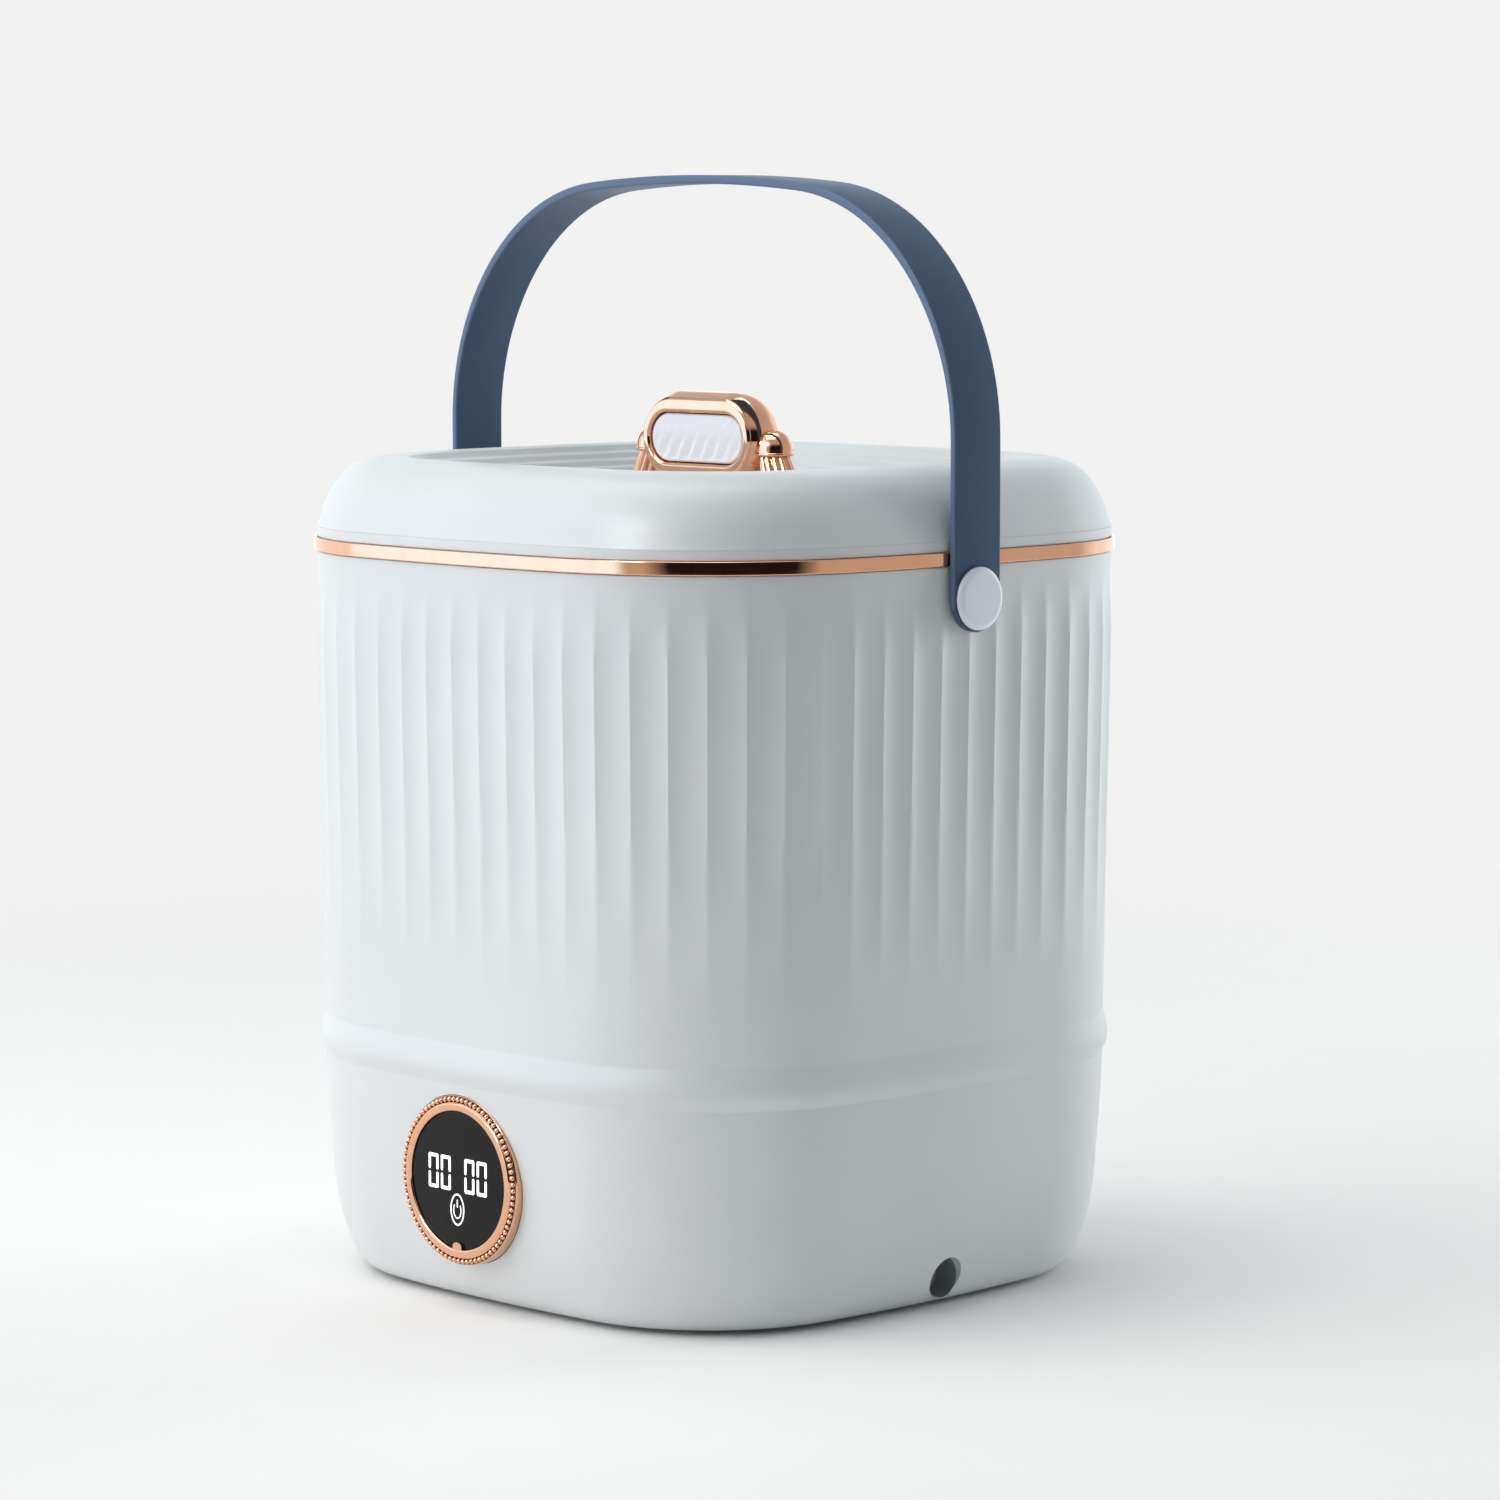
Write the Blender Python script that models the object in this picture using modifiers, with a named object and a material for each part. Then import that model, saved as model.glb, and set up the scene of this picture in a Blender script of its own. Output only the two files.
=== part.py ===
"""Mini washing machine: a fluted bucket body with a lift-off lid, a strap handle and a round display dial.

Metres, +Z up, front towards -Y. The origin is on the floor under the middle of the body.
Every piece is its own named object; pieces that move hang on an empty that lies on their joint's axis.
"""
from math import acos, atan2, cos, pi, radians, sin, sqrt

import bmesh
import bpy
import numpy as np
from mathutils import Matrix, Vector

MM = 0.001

# Fits that every piece shares
GAP = 0.3 * MM
OVERRUN = 3 * MM
SMOOTH_ANGLE = radians(32)
MERGE = 0.001 * MM

# Plan of the body: a square with bowed sides and round corners. Insets are measured in from this outline
HALF_WIDTH = 120 * MM
CORNER_RADIUS_SHARE = 0.625
SIDE_RADIUS_SHARE = 4.9
SIDE_STEPS = 2
CORNER_STEPS = 6

# Heights of the seams
BASE_BOTTOM = 1.5 * MM
BASE_SEAM = 75 * MM
TRIM_BOTTOM = 246.3 * MM
TRIM_HEIGHT = 5 * MM
COLLAR_HEIGHT = 3 * MM
LID_HEIGHT = 23.2 * MM

# Fluted body shell
FLUTES = 64
FLUTE_STEPS = 2
FLUTE_DEPTH = 1.15 * MM
SHELL_FOOT_INSET = 3.3 * MM
SHELL_TOP_INSET = 0.4 * MM
SHELL_SINK = 0.8 * MM
SHELL_WALL = 2.4 * MM
BEAD_HEIGHT = 15 * MM
BEAD_PROUD = 1.9 * MM
BEAD_SHARES = ((0.0, 0.4), (0.16, 1.0), (0.32, 0.95), (0.5, 0.4))
FADE_LOW_RISE = 31 * MM
FADE_LOW_HEIGHT = 20 * MM
FADE_HIGH_DROP = 24.3 * MM
FADE_HIGH_HEIGHT = 18 * MM
SEAT_WALL_INSET = 1.9 * MM

# Trim ring and collar
TRIM_INSET = 0.2 * MM
COLLAR_INSET = 1.2 * MM
COLLAR_LIP_WIDTH = 2 * MM
COLLAR_LIP_HEIGHT = 3 * MM

# Base housing
BASE_WALL = 2.6 * MM
BASE_WAIST_INSET = 5.3 * MM
BASE_ROUND_HEIGHT = 34.5 * MM
BASE_ROUND_WIDTH = 17.2 * MM
BASE_ROUND_STEPS = 4
BASE_SPIGOT_HEIGHT = 8 * MM
BASE_SPIGOT_WALL = 2 * MM
COVER_INSET_SHARE = 0.25
COVER_THICKNESS = 2 * MM
LEDGE_WIDTH = 7 * MM
LEDGE_THICKNESS = 2.2 * MM

# Wash tub
TUB_WALL = 1.8 * MM
TUB_CLEARANCE = 3.2 * MM
TUB_FLOOR_RISE = 13 * MM
TUB_FLOOR_THICKNESS = 2.4 * MM
TUB_DRAFT = 2.2 * MM
TUB_ROUND = 12 * MM
TUB_ROUND_STEPS = 2
TUB_FLANGE = 1.5 * MM

# Lid
LID_INSET = 1.5 * MM
LID_CREST_INSET = 29 * MM
LID_POWER = 2.3
LID_ROUND_STEPS = 6
LID_WALL = 2.4 * MM
RECESS_DEPTH = 11.2 * MM
RECESS_INSET = 45 * MM
RECESS_STEPS = 3
RECESS_LEAD = 4 * MM
RECESS_TREAD_SHARE = 0.62
RECESS_LIP_SHARE = 0.1
PANEL_THICKNESS = 2 * MM
PANEL_LEDGE_WIDTH = 6 * MM
LINER_THICKNESS = 1.6 * MM
LINER_LIFT = 4.1 * MM
GASKET_WIDTH = 1.5 * MM
LINER_CLEARANCE = 0.9 * MM

# Knob on the lid: an oval barrel between two fluted pillars
KNOB_LENGTH = 51.7 * MM
KNOB_HEIGHT = 27.4 * MM
KNOB_DEPTH = 18 * MM
KNOB_CENTRE_LIFT = 17.1 * MM
KNOB_SWELL = 1.1 * MM
KNOB_FRAME_CHAMFER = 1.4 * MM
KNOB_SWELL_SHARE = 0.75
KNOB_BACK_ROUND = 7.5 * MM
KNOB_ROUND_STEPS = 3
PAD_LENGTH = 44.6 * MM
PAD_HEIGHT = 16.6 * MM
PAD_THICKNESS = 3.2 * MM
PAD_SINK = 1.0 * MM
PAD_GAP = 0.4 * MM
PAD_ROUND = 0.8 * MM
PAD_STROKE = 2.5 * MM
PAD_STEM_DIAMETER = 5 * MM
PAD_STEM_LENGTH = 4.8 * MM
POCKET_DEPTH = 12 * MM
SPRING_WIRE = 0.5 * MM
SPRING_DIAMETER = 8.4 * MM
SPRING_TURNS = 3
SPRING_POINTS_PER_TURN = 6
PILLAR_SPAN = 57.6 * MM
PILLAR_HEAD_DIAMETER = 13 * MM
PILLAR_TOP_DIAMETER = 10.6 * MM
PILLAR_FOOT_DIAMETER = 12.4 * MM
PILLAR_LEAN = 4.2 * MM
PILLAR_FLUTES = 12
PILLAR_FLUTE_DEPTH = 0.75 * MM
PILLAR_NECK_LIFT = 11.6 * MM
PILLAR_COLLAR_HEIGHT = 1.3 * MM
DOME_STEPS = 2
DOME_TIP_SHARE = 0.05
KNOB_SCREW_DIAMETER = 4 * MM
KNOB_SCREW_LENGTH = 7 * MM

# Strap handle and its pivots
STRAP_WIDTH = 22 * MM
STRAP_THICKNESS = 2.2 * MM
STRAP_STAND = 2.4 * MM
STRAP_RISE = 136.5 * MM
STRAP_FLAT_HALF = 38 * MM
STRAP_STEPS = 9
PIVOT_DROP = 13.5 * MM
PIVOT_DIAMETER = 8 * MM
PIVOT_HEAD_DIAMETER = 14 * MM
PIVOT_HEAD_THICKNESS = 2.2 * MM
CAP_DIAMETER = 20.6 * MM
CAP_THICKNESS = 2.3 * MM
CAP_CHAMFER = 1.1 * MM
WASHER_DIAMETER = 18 * MM

# Display dial on the front of the base
DIAL_HEIGHT_SHARE = 0.5867
DIAL_FRONT_INSET = 2 * MM
DIAL_SIZE_SHARE = 0.752
DIAL_FRAME = 5.4 * MM
DIAL_LIP = 0.6 * MM
DIAL_LIP_WIDTH = 2.6 * MM
DIAL_LIP_ROUND = 0.5 * MM
DIAL_TRACK_WIDTH = 1.6 * MM
DIAL_TRACK_DEPTH = 1.1 * MM
DIAL_RIM_DROP = 1.3 * MM
DIAL_TAB_WIDTH = 5 * MM
DIAL_TAB_LENGTH = 3 * MM
GLASS_OVERLAP = 0.4 * MM
GLASS_THICKNESS = 2.2 * MM
POCKET_FLOOR_INSET = 10.2 * MM
POCKET_WALL = 2.6 * MM
HOUSING_INSET = 4 * MM
HOUSING_WALL = 2 * MM
BOARD_THICKNESS = 1.6 * MM
WIRE_HOLE_DIAMETER = 20 * MM

# Drain on the right side
DRAIN_HEIGHT = 10.8 * MM
DRAIN_BORE_DIAMETER = 14 * MM
DRAIN_BOSS_WALL = 2.5 * MM
DRAIN_BOSS_INSET = 28 * MM
DRAIN_NOTCH_WIDTH = 16 * MM
DRAIN_PIPE_DIAMETER = 13.2 * MM
DRAIN_PIPE_WALL = 1.5 * MM
DRAIN_PIPE_END_INSET = 26 * MM
DRAIN_PIPE_RUN = 34 * MM
DRAIN_BEND_RADIUS = 20 * MM
DRAIN_BEND_STEPS = 4
STOPPER_FACE_INSET = 22 * MM
STOPPER_GRIP_DEPTH = 1.6 * MM
STOPPER_GRIP_DIAMETER = 7 * MM
STOPPER_STEM_LENGTH = 9 * MM

# Power inlet on the back
INLET_HEIGHT = 34 * MM
INLET_SHARE = 0.35
INLET_DIAMETER = 12 * MM
INLET_FLANGE_DIAMETER = 16 * MM
INLET_FLANGE_THICKNESS = 1.6 * MM
INLET_LENGTH = 16 * MM
INLET_JACK_DIAMETER = 5.6 * MM
INLET_JACK_DEPTH = 9 * MM
INLET_PIN_DIAMETER = 2 * MM

# Drive train
SHAFT_DIAMETER = 8 * MM
SHAFT_FOOT = 17 * MM
BEARING_DIAMETER = 22 * MM
BEARING_HEIGHT = 7 * MM
BEARING_TUBE_WALL = 3 * MM
BEARING_FLANGE_DIAMETER = 64 * MM
BEARING_FLANGE_THICKNESS = 3 * MM
BEARING_TUBE_DROP = 36 * MM
PULSATOR_INSET = 46 * MM
PULSATOR_RISE = 5 * MM
PULSATOR_PLATE = 3 * MM
PULSATOR_DOME = 11 * MM
PULSATOR_DOME_RADIUS = 30 * MM
PULSATOR_VANES = 4
PULSATOR_VANE_HEIGHT = 9 * MM
PULSATOR_VANE_SHARPNESS = 5
PULSATOR_STEPS = 24
PULSATOR_RING_SHARES = (0.98, 0.8, 0.5, 0.2)
NUT_DIAMETER = 15 * MM
NUT_HEIGHT = 5 * MM
NUT_TOP_SHARE = 0.6
PULLEY_LEVEL = 26 * MM
PULLEY_WIDTH = 9 * MM
PULLEY_SPACING = 28 * MM
MOTOR_PULLEY_RADIUS = 11 * MM
GROOVE_DEPTH = 4 * MM
GROOVE_WIDTH = 5 * MM
PULLEY_WEB = 3 * MM
PULLEY_HUB_RADIUS = 9 * MM
PULLEY_RIM = 4 * MM
BELT_HEIGHT = 3.6 * MM
BELT_THICKNESS = 2.6 * MM
BELT_STEPS = 8
MOTOR_OFFSET_SHARE = 0.55
MOTOR_ANGLE = radians(135)
MOTOR_SIZE_SHARE = 0.35
MOTOR_HEADROOM = 18 * MM
MOTOR_ROUND = 2.5 * MM
MOTOR_SHAFT_DIAMETER = 4 * MM
MOTOR_BOSS_DIAMETER = 12 * MM
MOTOR_BOSS_HEIGHT = 2 * MM
BRACKET_LEVEL = 34 * MM
BRACKET_THICKNESS = 2.4 * MM
BRACKET_HALF_SHARE = 0.2
BRACKET_CORNER = 5 * MM
POST_DIAMETER = 8 * MM
SCREW_DIAMETER = 3 * MM
SCREW_HEAD_DIAMETER = 6 * MM
SCREW_HEAD_HEIGHT = 2 * MM
SCREW_LENGTH = 8 * MM
BRACKET_SCREW_LENGTH = 6.4 * MM
COVER_HEAD_HEIGHT = 0.7 * MM

# Control board and feet
BOARD_LENGTH = 46 * MM
BOARD_WIDTH = 34 * MM
BOARD_X_SHARE = 0.3333
BOARD_Y_SHARE = 0.3667
BOARD_POST_HEIGHT = 6 * MM
BOARD_POST_INSET = 5 * MM
FOOT_DIAMETER = 16 * MM
FOOT_PAD = 1.2 * MM
FOOT_PLUG_DIAMETER = 6 * MM
FOOT_SHARE = 0.5167
COVER_SCREW_PLACE_SHARE = 0.5

ROUND_STEPS = 16
SMALL_STEPS = 10
SCREW_STEPS = 10
TURNED_STEPS = 24

# Sizes and places that follow from the ones above
CORNER_RADIUS = HALF_WIDTH * CORNER_RADIUS_SHARE
SIDE_RADIUS = HALF_WIDTH * SIDE_RADIUS_SHARE
TRIM_TOP = TRIM_BOTTOM + TRIM_HEIGHT
SHELL_BOTTOM = BASE_SEAM + GAP
COLLAR_BOTTOM = TRIM_TOP + GAP
COLLAR_TOP = COLLAR_BOTTOM + COLLAR_HEIGHT
LID_BOTTOM = COLLAR_TOP + GAP
LID_TOP = LID_BOTTOM + LID_HEIGHT
SHELL_TOP = TRIM_TOP - TUB_FLANGE - GAP
PANEL_TOP = LID_TOP - RECESS_DEPTH
COVER_TOP = BASE_BOTTOM + COVER_THICKNESS
LEDGE_BOTTOM = COVER_TOP + GAP
COVER_INSET = HALF_WIDTH * COVER_INSET_SHARE
FADE_LOW = BASE_SEAM + FADE_LOW_RISE
FADE_HIGH = TRIM_BOTTOM - FADE_HIGH_DROP
TUB_FLOOR = BASE_SEAM + TUB_FLOOR_RISE
PIVOT_HEIGHT = SHELL_TOP - PIVOT_DROP
STRAP_HALF_SPAN = HALF_WIDTH + STRAP_STAND
STRAP_TOP = PIVOT_HEIGHT + STRAP_RISE
STRAP_CORNER_RADIUS = STRAP_HALF_SPAN - STRAP_FLAT_HALF
DIAL_HEIGHT = BASE_SEAM * DIAL_HEIGHT_SHARE
DIAL_DIAMETER = BASE_SEAM * DIAL_SIZE_SHARE
DIAL_WINDOW_DIAMETER = DIAL_DIAMETER - 2 * DIAL_FRAME
GLASS_DIAMETER = DIAL_WINDOW_DIAMETER + 2 * GLASS_OVERLAP
HOUSING_DIAMETER = DIAL_DIAMETER - 2 * HOUSING_INSET
DIAL_FRONT = HALF_WIDTH - DIAL_FRONT_INSET
POCKET_FLOOR = HALF_WIDTH - POCKET_FLOOR_INSET
DRAIN_BOSS_START = HALF_WIDTH - DRAIN_BOSS_INSET
DRAIN_PIPE_END = HALF_WIDTH - DRAIN_PIPE_END_INSET
DRAIN_PIPE_X = DRAIN_PIPE_END - DRAIN_PIPE_RUN
STOPPER_FACE = HALF_WIDTH - STOPPER_FACE_INSET
INLET_X = HALF_WIDTH * INLET_SHARE
BEARING_TUBE_BOTTOM = TUB_FLOOR - BEARING_TUBE_DROP
PULSATOR_RADIUS = HALF_WIDTH - PULSATOR_INSET
PULSATOR_BASE = TUB_FLOOR + PULSATOR_RISE
MOTOR_OFFSET = HALF_WIDTH * MOTOR_OFFSET_SHARE
MOTOR_DIAMETER = HALF_WIDTH * MOTOR_SIZE_SHARE
MOTOR_HEIGHT = TUB_FLOOR - BRACKET_LEVEL - MOTOR_HEADROOM
DRIVEN_RADIUS = MOTOR_OFFSET - PULLEY_SPACING
BRACKET_HALF = HALF_WIDTH * BRACKET_HALF_SHARE
BOARD_X = HALF_WIDTH * BOARD_X_SHARE
BOARD_Y = HALF_WIDTH * BOARD_Y_SHARE
FOOT_PLACE = HALF_WIDTH * FOOT_SHARE
MOTOR_X = MOTOR_OFFSET * cos(MOTOR_ANGLE)
MOTOR_Y = MOTOR_OFFSET * sin(MOTOR_ANGLE)
KNOB_LEVEL = PANEL_TOP + KNOB_CENTRE_LIFT
SHELL_INNER_FOOT = SHELL_FOOT_INSET + SHELL_WALL + GAP
SHELL_INNER_TOP = SHELL_TOP_INSET + FLUTE_DEPTH + SHELL_WALL - GAP


# Scene set-up

def clear_scene():
    """Remove whatever the file starts with."""
    for obj in list(bpy.data.objects):
        bpy.data.objects.remove(obj, do_unlink=True)


def new_collection(name):
    """A collection linked to the scene."""
    collection = bpy.data.collections.new(name)
    bpy.context.scene.collection.children.link(collection)
    return collection


def new_material(name, colour, roughness, metallic=0.0, alpha=1.0):
    """A Principled BSDF with one colour, given as linear red, green, blue."""
    material = bpy.data.materials.new(name)
    material.use_nodes = True
    shader = material.node_tree.nodes["Principled BSDF"]
    shader.inputs["Base Color"].default_value = (*colour, 1.0)
    shader.inputs["Roughness"].default_value = roughness
    shader.inputs["Metallic"].default_value = metallic
    shader.inputs["Alpha"].default_value = alpha
    material.diffuse_color = (*colour, alpha)
    return material


def place(obj, material, cutter=False):
    """Put an object in the parts or the cutters collection and shade it smooth."""
    for collection in list(obj.users_collection):
        collection.objects.unlink(obj)
    (CUTTERS if cutter else PARTS).objects.link(obj)
    if cutter:
        obj.hide_render = True
        obj.display_type = "WIRE"
    else:
        obj.data.materials.append(material)
    obj.data.shade_smooth()
    obj.data.set_sharp_from_angle(angle=SMOOTH_ANGLE)
    return obj


def from_bmesh(name, mesh, material, cutter=False):
    """Turn a bmesh into an object whose faces point outwards."""
    bmesh.ops.recalc_face_normals(mesh, faces=mesh.faces)
    data = bpy.data.meshes.new(name)
    mesh.to_mesh(data)
    mesh.free()
    return place(bpy.data.objects.new(name, data), material, cutter)


# Directions a turned or drilled piece can face: its own +Z goes to this world axis
FACING = {
    "up": (0, 0, 0),
    "front": (pi / 2, 0, 0),
    "back": (-pi / 2, 0, 0),
    "right": (0, pi / 2, 0),
    "left": (0, -pi / 2, 0),
}


# Builders

def plan_corner():
    """The corner arc's centre distance, and the half angle of a side's arc."""
    reach = SIDE_RADIUS - HALF_WIDTH
    spare = (SIDE_RADIUS - CORNER_RADIUS) ** 2
    centre = (sqrt(2 * spare - reach ** 2) - reach) / 2
    return centre, atan2(centre, centre + reach)


def plan_station(quarter, run):
    """Point and outward normal of the plan, a given run of arc length into a quarter that starts mid side."""
    centre, half_angle = plan_corner()
    reach = SIDE_RADIUS - HALF_WIDTH
    side = SIDE_RADIUS * half_angle
    corner = CORNER_RADIUS * (pi / 2 - 2 * half_angle)
    if run <= side:
        angle = run / SIDE_RADIUS
        hub, radius = Vector((-reach, 0)), SIDE_RADIUS
    elif run <= side + corner:
        angle = half_angle + (run - side) / CORNER_RADIUS
        hub, radius = Vector((centre, centre)), CORNER_RADIUS
    else:
        angle = pi / 2 - half_angle + (run - side - corner) / SIDE_RADIUS
        hub, radius = Vector((0, -reach)), SIDE_RADIUS
    normal = Vector((cos(angle), sin(angle)))
    turn = Matrix.Rotation(quarter * pi / 2, 2)
    return turn @ (hub + normal * radius), turn @ normal


def plan_runs():
    """Arc lengths of half a side and of a corner."""
    half_angle = plan_corner()[1]
    return SIDE_RADIUS * half_angle, CORNER_RADIUS * (pi / 2 - 2 * half_angle)


def even_plan(count):
    """Stations spread evenly along the whole outline, starting in the middle of the right side."""
    side, corner = plan_runs()
    quarter_run = 2 * side + corner
    per_quarter = count // 4
    return [
        plan_station(quarter, quarter_run * step / per_quarter)
        for quarter in range(4)
        for step in range(per_quarter)
    ]


def plain_plan():
    """Stations with a few on each side and more on each corner."""
    side, corner = plan_runs()
    half = SIDE_STEPS // 2
    runs = [side * step / half for step in range(half)]
    runs += [side + corner * step / CORNER_STEPS for step in range(CORNER_STEPS)]
    runs += [side + corner + side * step / half for step in range(half)]
    return [plan_station(quarter, run) for quarter in range(4) for run in runs]


def plan_ring(stations, inset, height):
    """One level loop of points, the outline moved in by an inset or by one inset for each station."""
    insets = inset if isinstance(inset, list) else [inset] * len(stations)
    return [
        ((point - normal * step_in).x, (point - normal * step_in).y, height)
        for (point, normal), step_in in zip(stations, insets)
    ]


def skin(rings, closed=False):
    """Loft rings of points; a ring may have a multiple of its neighbour's points. Open ends are capped."""
    mesh = bmesh.new()
    loops = [[mesh.verts.new(point) for point in ring] for ring in rings]
    pairs = list(zip(loops, loops[1:]))
    if closed:
        pairs.append((loops[-1], loops[0]))
    for lower, upper in pairs:
        count = min(len(lower), len(upper))
        low_step = len(lower) // count
        high_step = len(upper) // count
        for index in range(count):
            low = [lower[(index * low_step + k) % len(lower)] for k in range(low_step + 1)]
            high = [upper[(index * high_step + k) % len(upper)] for k in range(high_step + 1)]
            mesh.faces.new(low + high[::-1])
    if not closed:
        mesh.faces.new(loops[0][::-1])
        mesh.faces.new(loops[-1])
    return mesh


def plan_solid(name, profile, material, closed=True, cutter=False, stations=None):
    """Carry a profile of (inset, height) pairs round the plan: up the outside, then down the inside."""
    stations = stations or plain_plan()
    rings = [plan_ring(stations, inset, height) for inset, height in profile]
    return from_bmesh(name, skin(rings, closed), material, cutter)


def turned(name, outline, material, location, facing="up", steps=TURNED_STEPS, closed=False, cutter=False):
    """Spin (radius, height) pairs about the piece's own Z; the outline runs down its outer side."""
    data = bpy.data.meshes.new(name)
    edges = [(index, index + 1) for index in range(len(outline) - 1)]
    if closed:
        edges.append((len(outline) - 1, 0))
    data.from_pydata([(radius, 0, height) for radius, height in outline], edges, [])
    obj = place(bpy.data.objects.new(name, data), material, cutter)
    obj.location = location
    obj.rotation_euler = FACING[facing]
    screw = obj.modifiers.new("Turn", "SCREW")
    screw.steps = steps
    screw.render_steps = steps
    screw.use_merge_vertices = True
    screw.merge_threshold = MERGE
    return obj


def disc(name, diameter, low, high, material, location, facing="up", steps=ROUND_STEPS, cutter=False):
    """A plain cylinder between two heights on the piece's own Z, from Blender's primitive."""
    bpy.ops.mesh.primitive_cylinder_add(vertices=steps, radius=diameter / 2, depth=high - low)
    obj = bpy.context.object
    obj.name = name
    obj.data.name = name
    obj.data.transform(Matrix.Translation((0, 0, (low + high) / 2)))
    obj.location = location
    obj.rotation_euler = FACING[facing]
    return place(obj, material, cutter)


def ring_outline(outer, inner, low, high):
    """Closed outline of a flat ring."""
    return [(outer, high), (outer, low), (inner, low), (inner, high)]


def block(name, low, high, material, cutter=False):
    """A box between two corners."""
    mesh = bmesh.new()
    size = [b - a for a, b in zip(low, high)]
    middle = [(a + b) / 2 for a, b in zip(low, high)]
    bmesh.ops.create_cube(mesh, size=1, matrix=Matrix.Translation(middle) @ Matrix.Diagonal((*size, 1)))
    return from_bmesh(name, mesh, material, cutter)


def boolean(obj, tool, operation="DIFFERENCE"):
    """Cut, join or intersect an object with another one."""
    modifier = obj.modifiers.new(tool.name, "BOOLEAN")
    modifier.operation = operation
    modifier.solver = "EXACT"
    modifier.object = tool


def stadium(length, height, level, depth, steps):
    """Points of an upright oval with round ends, facing -Y at a given depth in front of the middle."""
    radius = height / 2
    reach = length / 2 - radius
    points = []
    for side in (1, -1):
        for step in range(steps + 1):
            angle = side * (step / steps - 0.5) * pi if side > 0 else pi / 2 + step / steps * pi
            points.append((side * reach + radius * cos(angle), depth, level + radius * sin(angle)))
    return points


# Body

def flute_inset(height):
    """Inset of the flute ridges: a straight draft from foot to top."""
    share = (height - SHELL_BOTTOM) / (SHELL_TOP - SHELL_BOTTOM)
    return SHELL_FOOT_INSET + (SHELL_TOP_INSET - SHELL_FOOT_INSET) * share


def fluted_ring(stations, height):
    """A ring of the fluted wall: a parabola between each two ridges."""
    insets = []
    for index in range(len(stations)):
        phase = (index % FLUTE_STEPS) / FLUTE_STEPS
        hollow = 4 * phase * (1 - phase)
        insets.append(flute_inset(height) + FLUTE_DEPTH * hollow)
    return plan_ring(stations, insets, height)


def ridge_inset(height):
    """Inset of the ridges at a height, with the sink that grows over the fade at the top."""
    share = (height - FADE_HIGH) / FADE_HIGH_HEIGHT
    return flute_inset(height) + SHELL_SINK * min(1.0, max(0.0, share))


def shell_inner_inset(height):
    """Inset of the shell's plain inner wall, straight from foot to top."""
    share = (height - SHELL_BOTTOM) / (SHELL_TOP - SHELL_BOTTOM)
    return SHELL_INNER_FOOT + (SHELL_INNER_TOP - SHELL_INNER_FOOT) * share


def build_body_shell():
    """Fluted outer wall with a double bead at its foot and a rebate for the trim ring at its top."""
    coarse = even_plan(FLUTES)
    fine = even_plan(FLUTES * FLUTE_STEPS)
    rings = []
    for height_share, proud_share in BEAD_SHARES:
        height = SHELL_BOTTOM + height_share * BEAD_HEIGHT
        rings.append(plan_ring(coarse, flute_inset(height) - proud_share * BEAD_PROUD, height))
    rings.append(plan_ring(coarse, flute_inset(FADE_LOW), FADE_LOW))
    rings.append(fluted_ring(fine, FADE_LOW + FADE_LOW_HEIGHT))
    rings.append(fluted_ring(fine, FADE_HIGH))
    shoulder = TRIM_BOTTOM - GAP
    for height in (FADE_HIGH + FADE_HIGH_HEIGHT, shoulder):
        rings.append(plan_ring(coarse, ridge_inset(height), height))
    rings.append(plan_ring(coarse, SEAT_WALL_INSET, shoulder))
    rings.append(plan_ring(coarse, SEAT_WALL_INSET, SHELL_TOP))
    rings.append(plan_ring(coarse, SHELL_INNER_TOP, SHELL_TOP))
    rings.append(plan_ring(coarse, SHELL_INNER_FOOT, SHELL_BOTTOM))
    shell = from_bmesh("body_shell", skin(rings, closed=True), BODY)
    for side in ("right", "left"):
        boolean(shell, pivot_bore(f"shell_bore_{side}", side))
    return shell


def pivot_bore(name, side):
    """Cutter for a pivot hole, through the wall and the strap on one side."""
    reach = STRAP_HALF_SPAN + OVERRUN
    start = HALF_WIDTH - SHELL_INNER_TOP - OVERRUN
    return disc(
        name, PIVOT_DIAMETER + 2 * GAP, start, reach, None, (0, 0, PIVOT_HEIGHT), side, SMALL_STEPS, cutter=True
    )


def base_profile():
    """Outer wall of the base from the floor edge up: a quarter ellipse, then a slight taper."""
    points = []
    for step in range(BASE_ROUND_STEPS + 1):
        angle = pi / 2 * (1 - step / BASE_ROUND_STEPS)
        drop = sin(angle)
        height = BASE_BOTTOM + BASE_ROUND_HEIGHT * (1 - drop)
        points.append((BASE_WAIST_INSET + BASE_ROUND_WIDTH * (1 - cos(angle)), height))
    points.append((SHELL_FOOT_INSET, BASE_SEAM))
    return points


def base_inset(height):
    """Inset of the base's outer wall at a height."""
    waist = BASE_BOTTOM + BASE_ROUND_HEIGHT
    if height >= waist:
        share = (height - waist) / (BASE_SEAM - waist)
        return BASE_WAIST_INSET + (SHELL_FOOT_INSET - BASE_WAIST_INSET) * share
    drop = (waist - height) / BASE_ROUND_HEIGHT
    return BASE_WAIST_INSET + BASE_ROUND_WIDTH * (1 - sqrt(max(0.0, 1 - drop ** 2)))


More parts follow.
